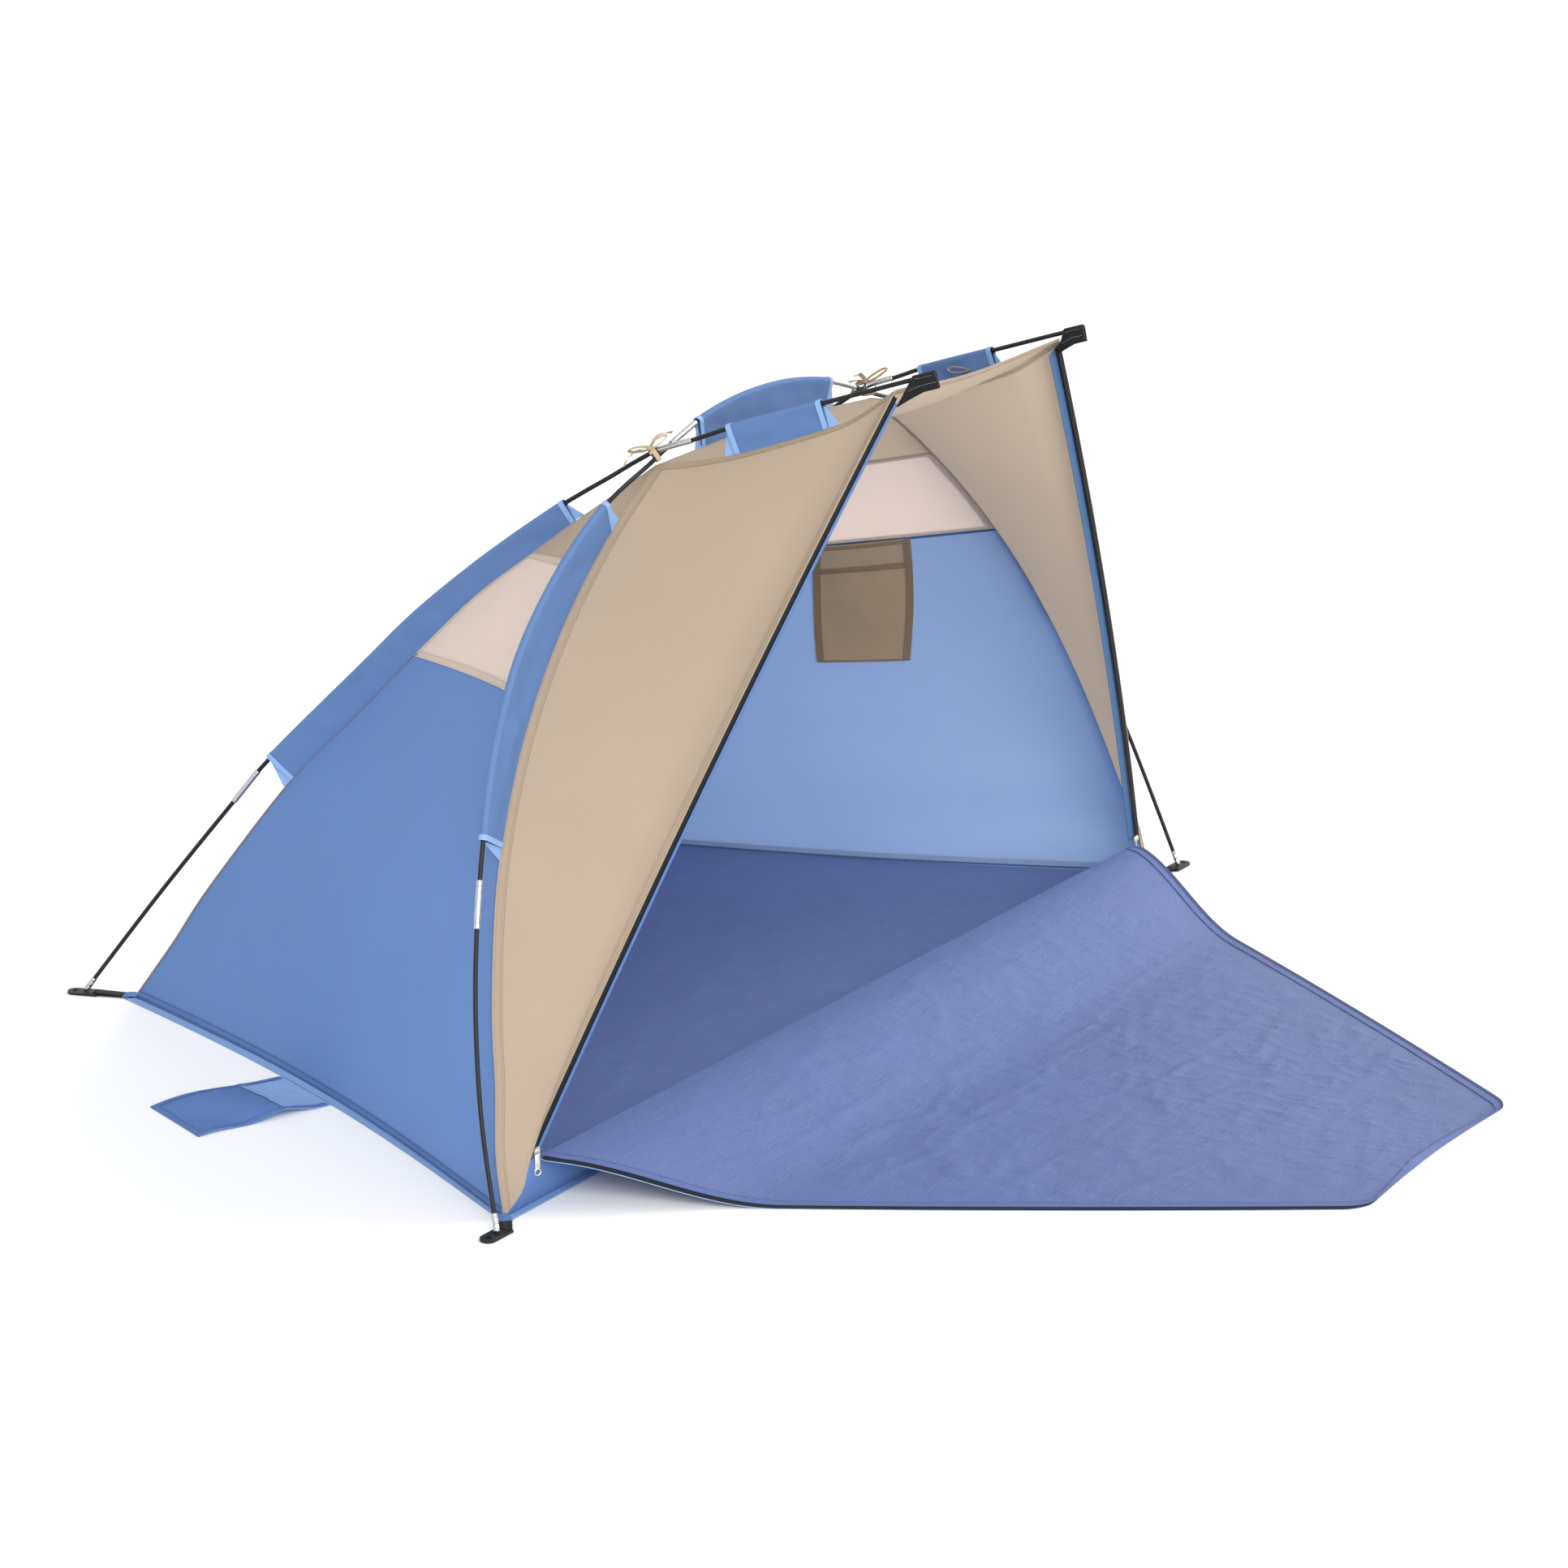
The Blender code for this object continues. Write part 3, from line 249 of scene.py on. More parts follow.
def outwards(grid, centre=None):
    # Unit normals that point away from the tent's middle, or from the centre given.
    normals = gridNormals(grid)
    away = grid - np.array(tent["middle"] if centre is None else centre)
    return normals if (normals * away).sum() > 0 else -normals


def ripple(grid, size, seed, stretch=(1, 1, 1)):
    # Smooth noise from about -1 to 1, with bumps of about this size.
    scale = np.array(stretch) / size
    made = np.zeros(grid.shape[:2])
    for row in range(grid.shape[0]):
        for column in range(grid.shape[1]):
            place = Vector(grid[row, column] * scale) + Vector(seed * step for step in noiseShape["seedStep"])
            made[row, column] = noise.fractal(place, 1.0, noiseShape["spread"], noiseShape["octaves"])
    return made


def creases(grid, size, seed, stretch, sharp):
    # Narrow ridges from 0 to 1, where noise crosses zero.
    return np.exp(-np.abs(ripple(grid, size, seed, stretch)) * sharp)


# Objects
creaseAngle = 40  # edges sharper than this, in degrees, stay sharp


def deselect():
    bpy.ops.object.select_all(action="DESELECT")


def meshObject(name, points, faces, uvs=None):
    mesh = bpy.data.meshes.new(name)
    mesh.from_pydata([tuple(point) for point in points], [], [tuple(face) for face in faces])
    if uvs is not None:
        layer = mesh.uv_layers.new(name="cloth")
        index = np.zeros(len(mesh.loops), int)
        mesh.loops.foreach_get("vertex_index", index)
        layer.data.foreach_set("uv", np.asarray(uvs)[index].ravel())
    made = bpy.data.objects.new(name, mesh)
    bpy.context.scene.collection.objects.link(made)
    return made


def applied(made, kind, **values):
    deselect()
    bpy.context.view_layer.objects.active = made
    made.select_set(True)
    step = made.modifiers.new(kind.lower(), kind)
    for key, value in values.items():
        setattr(step, key, value)
    bpy.ops.object.modifier_apply(modifier=step.name)
    return made


def smoothed(made):
    deselect()
    bpy.context.view_layer.objects.active = made
    made.select_set(True)
    bpy.ops.object.shade_smooth_by_angle(angle=math.radians(creaseAngle))
    return made


def gridFaces(rows, columns, around=False):
    row, column = np.meshgrid(np.arange(rows - 1), np.arange(columns - (not around)), indexing="ij")
    after = (column + 1) % columns
    a, b = row * columns + column, row * columns + after
    return np.stack((a, b, b + columns, a + columns), -1).reshape(-1, 4)


def gridUvs(grid):
    across = np.concatenate((np.zeros((grid.shape[0], 1)), np.linalg.norm(np.diff(grid, axis=1), axis=2)), 1)
    up = np.concatenate((np.zeros((1, grid.shape[1])), np.linalg.norm(np.diff(grid, axis=0), axis=2)), 0)
    return np.stack((np.cumsum(across, 1), np.cumsum(up, 0)), -1).reshape(-1, 2)


def sheetObject(name, grid, thickness=tent["clothThickness"]):
    # A closed sheet of even thickness over a grid that is the middle of the cloth.
    made = meshObject(name, grid.reshape(-1, 3), gridFaces(*grid.shape[:2]), gridUvs(grid))
    applied(made, "SOLIDIFY", thickness=thickness, offset=0, use_even_offset=False)
    return smoothed(made)


def tubeObject(name, rings, capped=True):
    # A tube through rings of points.
    rings = np.asarray(rings)
    count, around = rings.shape[:2]
    faces = [tuple(face) for face in gridFaces(count, around, True)]
    if capped:
        faces += [tuple(range(around))[::-1], tuple(range((count - 1) * around, count * around))]
    made = meshObject(name, rings.reshape(-1, 3), faces, gridUvs(rings))
    deselect()
    bpy.context.view_layer.objects.active = made
    made.select_set(True)
    bpy.ops.object.mode_set(mode="EDIT")
    bpy.ops.mesh.select_all(action="SELECT")
    bpy.ops.mesh.normals_make_consistent(inside=False)
    bpy.ops.object.mode_set(mode="OBJECT")
    return smoothed(made)


def dressed(made, finish, body="tent", nodesHidden=()):
    made.data.materials.clear()
    made.data.materials.append(finish)
    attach(made, body)
    if nodesHidden:
        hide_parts(*nodesHidden)
    return made


def lined(made):
    # Marks the inner face, which is painted paler: partly its paler coating, partly painted light standing in
    # for the light inside the tent.
    marks = made.data.attributes.new("insideCoatAndLight", "FLOAT", "POINT")
    marks.data.foreach_set("value", [float(point.normal.dot(point.co - Vector(tent["insideCoatAndLightMiddle"])) < 0)
                                     for point in made.data.vertices])
    return made


def declared(made, grid):
    # The cut is as wide and as long as the cloth is along its threads; these sizes are worked out here and not
    # kept.
    width, length = (math.ceil(max(reach(line)[-1] for line in lines) * 1000) / 1000
                     for lines in (grid, grid.transpose(1, 0, 2)))
    return made


def clothPiece(name, grid, finish, body="tent", thickness=tent["clothThickness"]):
    return dressed(sheetObject(name, grid, thickness), finishes[finish], body)


def sheetPiece(name, grid, finish, node, body="tent", insideCoatAndLit=False):
    piece = sheetObject(name, grid)
    dressed(lined(piece) if insideCoatAndLit else piece, finishes[finish], body, [node])
    return declared(piece, grid)


# Bands along the edges of a cloth, and the threads in them
def fromEdge(grid, edge):
    if edge in ("left", "right"):
        grid = grid.swapaxes(0, 1)
    return grid[::-1] if edge in ("high", "right") else grid


def bandGrid(grid, edge, spans, lift, part=(0, 1), centre=None):
    rows, normals = fromEdge(grid, edge), fromEdge(outwards(grid, centre), edge)
    first, last = (round(share * (rows.shape[1] - 1)) for share in part)
    spans = np.asarray(spans, float)
    made = []
    for column in range(first, last + 1):
        line, marks = rows[:, column], reach(rows[:, column])
        points = np.stack([np.interp(spans, marks, line[:, axis]) for axis in range(3)], -1)
        past = unit(line[0] - line[1]) * np.maximum(-spans, 0)[:, None]
        lean = np.stack([np.interp(spans, marks, normals[:, column, axis]) for axis in range(3)], -1)
        made.append(points + past + unit(lean) * lift)
    return np.array(made).swapaxes(0, 1)


def bandPiece(name, grid, edge, spans, lift, finish, body="tent", part=(0, 1), centre=None):
    return clothPiece(name, bandGrid(grid, edge, spans, lift, part, centre), finish, body)


def hemSpans(width):
    return 0, hems["lip"], width - hems["lip"], width


stitchRuns = {}
thread = {"pitch": 0.0042, "length": 0.0031, "width": 0.00055, "height": 0.00042,
          "line": (-0.0007, -0.0004, 0.0004, 0.0007), "lineThickness": 0.0004}


def stitched(line, normals, key):
    marks = reach(line)
    places = np.arange(thread["pitch"] / 2, marks[-1], thread["pitch"])
    if len(places) < 2:
        return
    middle = atDistance(line, places)
    quarter = thread["pitch"] / 4
    ahead = unit(atDistance(line, places + quarter) - atDistance(line, places - quarter))
    over = unit(np.stack([np.interp(places, marks, normals[:, axis]) for axis in range(3)], -1))
    beside = unit(np.cross(ahead, over))
    half = thread["length"] / 2
    stitchRuns.setdefault(key, []).append(np.stack((
        middle - ahead * half, middle + ahead * half,
        middle - beside * thread["width"] / 2, middle + beside * thread["width"] / 2,
        middle + over * thread["height"], middle - over * thread["height"]), 1))


def stitchBand(grid, edge, spans, lift, key, part=(0, 1), centre=None):
    for span in spans:
        line = bandGrid(grid, edge, (span,), lift, part, centre)[0]
        rows = fromEdge(outwards(grid, centre), edge)
        first, last = (round(share * (rows.shape[1] - 1)) for share in part)
        stitched(line, rows[min(1, len(rows) - 1)][first:last + 1] * (1 if lift > 0 else -1), key)


def seamLines(name, grid, edge, spans, lift, finish, body="tent", centre=None, part=(0, 1)):
    # A dark strip along a row of stitches: painted shade of the pressed line that the stitches draw into the
    # cloth.
    for number, span in enumerate(spans):
        line = bandGrid(grid, edge, np.array(thread["line"]) + span, lift, part, centre)
        clothPiece(name + "_" + str(number), line, finish, body, thread["lineThickness"])


def makeStitches(finishes):
    # Each stitch is a slim octahedron of six points.
    octahedron = np.array(
        ((0, 4, 3), (0, 3, 5), (0, 5, 2), (0, 2, 4), (1, 3, 4), (1, 5, 3), (1, 2, 5), (1, 4, 2)))
    for (body, shade), runs in stitchRuns.items():
        points = np.concatenate(runs)
        faces = (octahedron[None] + np.arange(len(points))[:, None, None] * 6).reshape(-1, 3)
        made = meshObject("stitches_" + shade + "_" + body, points.reshape(-1, 3), faces)
        dressed(made, finishes[shade], body)
    print("stitches", sum(len(run) for runs in stitchRuns.values() for run in runs))


# Finishes
class Link:
    # A socket that can stand in a sum.
    def __init__(self, finish, socket):
        self.finish, self.socket = finish, socket

    def maths(self, operation, first, second=0.0):
        return self.finish.node("ShaderNodeMath", {"operation": operation}, {0: first, 1: second})

    def __add__(self, other):
        return self.maths("ADD", self, other)

    def __sub__(self, other):
        return self.maths("SUBTRACT", self, other)

    def __mul__(self, other):
        return self.maths("MULTIPLY", self, other)

    def sine(self):
        return self.maths("SINE", self)

    def size(self):
        return self.maths("ABSOLUTE", self)

    def above(self, limit):
        return self.maths("GREATER_THAN", self, limit)

    def power(self, other):
        return self.maths("POWER", self, other)

    __radd__ = __add__
    __rmul__ = __mul__


class Finish:
    def __init__(self, name, roughness=0.8, metallic=0.0, **shaderValues):
        self.material = bpy.data.materials.new(name)
        self.material.use_nodes = True
        self.tree = self.material.node_tree
        self.shader = self.tree.nodes["Principled BSDF"]
        self.shader.inputs["Roughness"].default_value = roughness
        self.shader.inputs["Metallic"].default_value = metallic
        for key, value in shaderValues.items():
            self.shader.inputs[key.replace("_", " ")].default_value = value
        self.place = self.node("ShaderNodeTexCoord", out="Object")
        flat = self.node("ShaderNodeTexCoord", out="UV")
        self.u = self.node("ShaderNodeSeparateXYZ", {}, {0: flat}, out="X")
        self.v = self.node("ShaderNodeSeparateXYZ", {}, {0: flat}, out="Y")

    def put(self, socket, value):
        if isinstance(value, Link):
            self.tree.links.new(value.socket, socket)
        elif isinstance(value, tuple) and len(socket.default_value) == 4:
            socket.default_value = (*value[:3], 1)
        else:
            socket.default_value = value

    def node(self, kind, settings=None, sockets=None, out=0):
        made = self.tree.nodes.new(kind)
        for key, value in (settings or {}).items():
            if key == "stops":
                for index, (place, shade) in enumerate(value):
                    stops = made.color_ramp.elements
                    stop = stops[index] if index < len(stops) else stops.new(place)
                    stop.position, stop.color = place, (shade, shade, shade, 1)
            else:
                setattr(made, key, value)
        for key, value in (sockets or {}).items():
            self.put(made.inputs[key], value)
        return Link(self, made.outputs[out])

    def noise(self, scale, detail=3.0, vector=None, rough=0.55):
        return self.node("ShaderNodeTexNoise", {}, {
            "Vector": vector or self.place, "Scale": scale, "Detail": detail, "Roughness": rough})

    def stretched(self, scale):
        return self.node("ShaderNodeMapping", {}, {"Vector": self.place, "Scale": scale})

    def mix(self, factor, first, second):
        made = self.tree.nodes.new("ShaderNodeMix")
        made.data_type = "RGBA"
        self.put(made.inputs[0], factor)
        self.put(made.inputs[6], first)
        self.put(made.inputs[7], second)
        return Link(self, made.outputs[2])

    def colour(self, link):
        self.put(self.shader.inputs["Base Color"], link)

    def roughness(self, link):
        self.put(self.shader.inputs["Roughness"], link)

    def bump(self, height, strength, distance):
        sockets = {"Height": height, "Strength": strength, "Distance": distance}
        self.put(self.shader.inputs["Normal"], self.node("ShaderNodeBump", {}, sockets, "Normal"))

    def letThrough(self, share, colour):
        # Light from behind shows through thin cloth.
        behind = self.node("ShaderNodeBsdfTranslucent", {}, {"Color": colour}, "BSDF")
        both = self.node("ShaderNodeMixShader", {}, {0: share, 2: behind}, 0)
        self.tree.links.new(self.shader.outputs[0], both.socket.node.inputs[1])
        self.tree.links.new(both.socket, self.tree.nodes["Material Output"].inputs["Surface"])


def paint(red, green, blue):
    # A colour as it is seen on a screen, made linear.
    return tuple(((value / 255 + 0.055) / 1.055) ** 2.4 for value in (red, green, blue))


def tones(colour, contrast):
    return [tuple(value * level for value in colour) for level in (1 - contrast, 1 + contrast)]


def clothFinish(name, look):
    finish = Finish(name, look["roughness"], Sheen_Weight=look["sheen"], Specular_IOR_Level=look["gloss"])
    thread = math.tau / look["thread"]
    weave = (finish.u * thread).sine() * (finish.v * thread).sine()
    cloud = finish.noise(look["cloudScale"])
    crumple = finish.noise(look["crumpleScale"], 4.0)
    shade = (cloud - 0.5) * look["cloud"] + weave * look["weave"] + 0.5
    height = weave * look["ribs"] + crumple * look["crumple"]
    if look["folds"]:
        # Thicker threads cross every few millimetres, and the coated cloth has small sharp creases.
        lines, sharpness = math.pi / look["linePitch"], look["lineSharpness"]
        across, along = ((flat * lines).sine().size().power(sharpness) for flat in (finish.u, finish.v))
        crossed = across + along
        stretched = finish.stretched(look["foldStretch"])
        folds = (finish.noise(look["foldScale"], 4.0, stretched, look["foldRoughness"]) - 0.5).size()
        shade = shade + crossed * look["lines"] - folds * look["lines"]
        height = height + crossed * (look["lines"] * look["lineHeight"]) + folds * look["folds"]
    dark, light = tones(look["colour"], look["contrast"])
    if look["insideCoatAndLight"]:
        # The inner face takes the paler colour: partly the coating, partly painted light for the bright inside
        # of the tent.
        inside = finish.node("ShaderNodeAttribute", {"attribute_name": "insideCoatAndLight"}, out="Fac")
        inner = tones(look["insideCoatAndLight"], look["insideCoatAndLightContrast"])
        dark, light = finish.mix(inside, dark, inner[0]), finish.mix(inside, light, inner[1])
    finish.colour(finish.mix(shade, dark, light))
    finish.roughness((crumple - 0.5) * look["roughnessSwing"] + look["roughness"])
    finish.bump(height, look["bump"], look["bumpDepth"])
    if look["through"]:
        # The light passes two faces, so each gives the square root of the colour.
        finish.letThrough(look["through"], tuple(math.sqrt(value) for value in look["colour"]))
    return finish.material


clothLooks = {
    # The blue and beige cloths are painted paler on the inner face, partly for the coating and partly as
    # painted light.
    "blue": {"colour": paint(116, 153, 208), "insideCoatAndLight": paint(184, 203, 222)},
    "sleeve": {"colour": paint(117, 152, 202), "folds": 11.0, "foldScale": 7.0},
    "beige": {"colour": paint(198, 181, 160), "insideCoatAndLight": paint(226, 208, 182)},
    "window": {"colour": paint(240, 225, 212), "thread": 0.0016, "weave": 0.30, "through": 0.5},
    "floor": {"colour": paint(89, 106, 156), "roughness": 0.60, "cloud": 0.4, "through": 0.0, "bump": 0.8,
              "lines": 0.45, "folds": 2.4, "foldScale": 24.0},
    "mat": {"colour": paint(84, 101, 155), "roughness": 0.52, "cloud": 0.4, "through": 0.0, "bump": 1.0,
            "lines": 0.6, "folds": 3.4, "foldScale": 52.0},
    "mesh": {"colour": paint(206, 184, 152), "thread": 0.0014, "weave": 0.5},
    "meshHem": {"colour": paint(168, 146, 116), "thread": 0.0014, "weave": 0.5},
    "hemBlue": {"colour": paint(136, 172, 220), "through": 0.1},
    # Dark blue: the seams on the inner face, and painted shade on the right storm strip.
    "hemDark": {"colour": paint(58, 96, 138), "through": 0.0},
    # Navy, painted shade: the right edge of the door and the lines along its hems.
    "tapeNavy": {"colour": paint(44, 58, 106), "through": 0.0},
    # Dark lines along stitch rows, painted shade; the brown one also colours the corner binding.
    "seamBlue": {"colour": paint(54, 92, 138), "through": 0.0},
    "seamBrown": {"colour": paint(140, 114, 90), "through": 0.0},
    "flange": {"colour": paint(128, 166, 216), "through": 0.1},
    "binding": {"colour": paint(180, 158, 134), "through": 0.0, "thread": 0.0009, "weave": 0.3},
    "windowBinding": {"colour": paint(200, 184, 171), "through": 0.0, "thread": 0.0009, "weave": 0.3},
    "tie": {"colour": paint(184, 163, 132), "through": 0.0, "thread": 0.0009, "weave": 0.3},
    "webbing": {"colour": paint(22, 22, 24), "through": 0.0, "thread": 0.0026, "weave": 1.8, "bump": 1.0,
                "ribs": 1.4, "gloss": 0.25},
    "zipTape": {"colour": paint(15, 15, 18), "through": 0.0, "thread": 0.0010, "weave": 0.4, "gloss": 0.15},
}
plainCloth = {
    "roughness": 0.82, "roughnessSwing": 0.2, "sheen": 0.05, "gloss": 0.4, "through": 0.5, "insideCoatAndLight": None,
    "contrast": 0.20, "insideCoatAndLightContrast": 0.14, "cloud": 0.25, "cloudScale": 7.0, "crumple": 1.0,
    "crumpleScale": 30.0, "thread": 0.0011, "weave": 0.10, "ribs": 0.15, "bump": 0.35, "bumpDepth": 0.001,
    "lines": 0.0, "linePitch": 0.0036, "lineSharpness": 14.0, "lineHeight": 0.3, "folds": 0.0,
    "foldScale": 14.0, "foldStretch": (0.5, 1.7, 1.0), "foldRoughness": 0.6}
finishes = {name: clothFinish(name + "_cloth", {**plainCloth, **look}) for name, look in clothLooks.items()}


threadLook = {"roughness": 0.7, "grain": 400.0, "contrast": 0.2}
hardLook = {"grainDetail": 4.0, "contrast": 0.15, "roughnessSwing": 0.3, "bumpDepth": 0.0005}


def threadFinish(name, colour):
    finish = Finish(name, threadLook["roughness"])
    finish.colour(finish.mix(finish.noise(threadLook["grain"]), *tones(colour, threadLook["contrast"])))
    return finish.material


def hardFinish(name, colour, roughness, grain, metallic=0.0, gloss=0.5, bump=0.1):
    finish = Finish(name, roughness, metallic, Specular_IOR_Level=gloss)
    spots = finish.noise(grain, hardLook["grainDetail"])
    finish.colour(finish.mix(spots, *tones(colour, hardLook["contrast"])))
    finish.roughness((spots - 0.5) * hardLook["roughnessSwing"] + roughness)
    finish.bump(spots, bump, hardLook["bumpDepth"])
    return finish.material


finishes["threadBlue"] = threadFinish("blue_thread", paint(58, 92, 156))
finishes["threadBrown"] = threadFinish("brown_thread", paint(128, 102, 78))
finishes["threadPale"] = threadFinish("pale_thread", paint(170, 196, 232))
finishes["rod"] = hardFinish("rod_fibreglass", paint(26, 27, 30), 0.42, 90.0, gloss=0.25, bump=0.15)
finishes["steel"] = hardFinish("ferrule_steel", (0.51, 0.52, 0.53), 0.28, 150.0, 1.0)
finishes["plastic"] = hardFinish("plate_plastic", paint(24, 24, 27), 0.45, 400.0, gloss=0.3, bump=0.3)
finishes["zipMetal"] = hardFinish("zip_metal", (0.74, 0.69, 0.62), 0.36, 300.0, 0.85)
print("finishes made")

# Walls, roof and floor
panels = {  # counts of rows and columns, and the waves of each slack panel
    "fine": 7,  # rows of fine cloth for each row of the pattern
    "wallColumns": 7,
    "floorRows": 14,
    "frontColumns": 6,
    "backColumns": 8,
    "roofRows": 6,
    "rippleSize": {"wall": 0.30, "front": 0.26, "back": 0.30, "roof": 0.20},
    "ripple": {"side_panel": 0.0030, "window": 0.0012, "upper_side": 0.0012, "front": 0.0035, "back": 0.0035,
               "roof": 0.0030},
    "edgePower": 0.7,
    "upperEnd": 15.8,
}
hems = {  # spans are distances in from a cloth's edge, and lifts are heights above its middle
    "lip": 0.001,
    "lift": 0.0010,
    "threadLift": 0.0015,
    "lineLift": 0.0012,
    "bareThreadLift": 0.0006,
    "seamStitch": (0.004,),
    "ground": (0, 0.002, 0.012, 0.014),
    "groundLines": (0.0032, 0.0125),
    "groundLineLift": 0.0018,
    "groundStitches": (0.0025, 0.0118),
    "cornerBinding": (-0.0014, -0.0010, 0.0010, 0.0014),
    "groundSeam": (0.001, 0.0015, 0.0035, 0.004),
    "window": (-0.0015, 0, 0.010, 0.011),
    "windowStitches": (0.0015, 0.009),
    "windowSeam": (-0.0015, 0, 0.0025, 0.0035),
    "frontWidths": {"left": 0.014, "high": 0.010},
    "frontLift": 0.0008,
    "frontStitch": 0.003,
    "frontThreadLift": 0.0013,
    "frontLineLift": 0.0009,
    "facing": (0, 0.002, 0.010, 0.012),
    "facingStitches": (0.0025, 0.0100),
    "facingLift": 0.0009,
    "facingThreadLift": 0.0014,
    "eave": (-0.001, 0, 0.011, 0.013),
    "eaveStitches": (0.0025, 0.0105),
    "roofStitches": (0.004, 0.009),
}
topRow = tent["wallRows"][-1]


def rippled(grid, panel, seed, size=None):
    height = ripple(grid, panels["rippleSize"][size or panel], seed) * panels["ripple"][panel]
    return grid + outwards(grid) * (height * edgeMask(grid, panels["edgePower"]))[..., None]


def groundHem(grid, hemName, lineName):
    bandPiece(hemName, grid, "low", hems["ground"], hems["lift"], "blue")
    seamLines(lineName, grid, "low", hems["groundLines"], hems["groundLineLift"], "seamBlue")
    stitchBand(grid, "low", hems["groundStitches"], hems["threadLift"], ("tent", "threadBlue"))


def makeWall(name, side):
    base, low, high, _ = tent["wallRows"]
    made = []
    for part, first, last, finish in (("side_panel", base, low, "blue"), ("window", low, high, "window"),
                                      ("upper_side", high, panels["upperEnd"], "beige")):
        rows = np.linspace(first, last, round((last - first) * panels["fine"]) + 1)
        grid = wallGrid(rows, panels["wallColumns"] * panels["fine"], side)
        grid = rippled(grid, part, side + seeds["wall"], "wall")
        node = part + "_" + name
        sheetPiece(node + "_cloth", grid, finish, node,
                   insideCoatAndLit=True)
        made.append(grid)
    lower, window, upper = made
    for edge in ("left", "right"):
        stitchBand(lower, edge, hems["seamStitch"], hems["bareThreadLift"], ("tent", "threadBlue"))
        stitchBand(upper, edge, hems["seamStitch"], hems["bareThreadLift"], ("tent", "threadBrown"))
    groundHem(lower, "wall_hem_" + name, "wall_hem_line_" + name)
    bandPiece("wall_binding_" + name, lower, "left", hems["cornerBinding"], hems["lineLift"], "seamBrown")
    bandPiece("wall_seam_" + name, lower, "low", hems["groundSeam"], -hems["lift"], "hemDark")
    for edge in ("low", "high", "left", "right"):
        bandPiece("window_binding_" + edge + "_" + name, window, edge, hems["window"], hems["lift"],
                  "windowBinding")
        stitchBand(window, edge, hems["windowStitches"], hems["threadLift"], ("tent", "threadBrown"))
    for edge, finish in (("low", "hemDark"), ("high", "binding")):
        bandPiece("window_seam_" + edge + "_" + name, window, edge, hems["windowSeam"], -hems["lift"], finish)


sillBow = np.array((-0.012, -0.007, 0.0))  # the slack of the front panel's lower edge, where it meets the sill


def makeFront(name, side):
    v, u = shares(topRow * panels["fine"]), shares(panels["frontColumns"] * panels["fine"])
    low = frontCorner + (zipEdgeFoot - frontCorner) * u[:, None] + sillBow * np.sin(np.pi * u)[:, None]
    grid = patch(low, atShare(ridgeSeam, u), hoopSeam(v * topRow), besideZip(v, zipEdgeOffset))
    grid = onSide(grid + unit(backward - rightward) * tent["frontSag"] * edgeMask(grid)[..., None], side)
    grid = rippled(grid, "front", side + seeds["front"])
    node = "front_panel_" + name
    sheetPiece(node + "_cloth", grid, "beige", node,
               insideCoatAndLit=True)
    stitch, shade = hems["frontStitch"], ("tent", "threadBrown")
    for edge, width in hems["frontWidths"].items():
        tag = edge + "_" + name
        bandPiece("front_seam_" + tag, grid, edge, hemSpans(width), hems["frontLift"], "beige")
        stitchBand(grid, edge, (stitch, width - stitch), hems["frontThreadLift"], shade)
        seamLines("front_seam_line_" + tag, grid, edge, (width,), hems["frontLineLift"], "seamBrown")
    bandPiece("front_edge_" + name, grid, "right", hems["facing"], hems["facingLift"], "beige")
    stitchBand(grid, "right", hems["facingStitches"], hems["facingThreadLift"], shade)


def makeBack():
    columns = shares(panels["backColumns"] * panels["fine"])
    seam = rearSeam(shares(topRow * panels["fine"]) * topRow)
    grid = patch(atShare(rearHem, columns), atShare(hoopTop, columns), onSide(seam, -1), seam)
    grid = grid - unit(backward + upward) * tent["backSag"] * edgeMask(grid)[..., None]
    grid = rippled(grid, "back", seeds["back"])
    sheetPiece("back_panel_cloth", grid, "blue", "back_panel",
               insideCoatAndLit=True)
    groundHem(grid, "back_hem", "back_hem_line")
    for edge in ("left", "right"):
        stitchBand(grid, edge, hems["seamStitch"], hems["bareThreadLift"], ("tent", "threadBlue"))


def makeRoof():
    columns = shares(panels["backColumns"] * panels["fine"])
    ridge = atShare(ridgeSeam, shares(panels["roofRows"] * panels["fine"]))
    grid = patch(atShare(hoopTop, columns), atShare(eave, columns), onSide(ridge, -1), ridge)
    grid = grid - upward * tent["roofSag"] * edgeMask(grid)[..., None]
    grid = rippled(grid, "roof", seeds["roof"])
    sheetPiece("roof_panel_cloth", grid, "beige", "roof_panel",
               insideCoatAndLit=True)
    for lift, place in ((hems["lift"], "top"), (-hems["lift"], "under")):
        bandPiece("eave_hem_" + place, grid, "high", hems["eave"], lift, "binding")
    stitchBand(grid, "high", hems["eaveStitches"], hems["threadLift"], ("tent", "threadBrown"))
    for edge in ("left", "right"):
        stitchBand(grid, edge, hems["roofStitches"], hems["bareThreadLift"], ("tent", "threadBrown"))


def floorEdge(side):
    # The floor reaches a flange's width beyond the hems.
    hem = wallGrid(np.array([0.0]), panels["floorRows"] * panels["fine"], 1)[0]
    along = frontCorner - rearCorner
    edge = hem * np.array((1, 1, 0))
    edge[:, 0] += tent["floorFlange"] * np.linalg.norm(along) / -along[1]
    edge[:, 1] += tent["floorFlange"] * (1 - 2 * shares(len(hem) - 1))
    return onSide(edge, side)


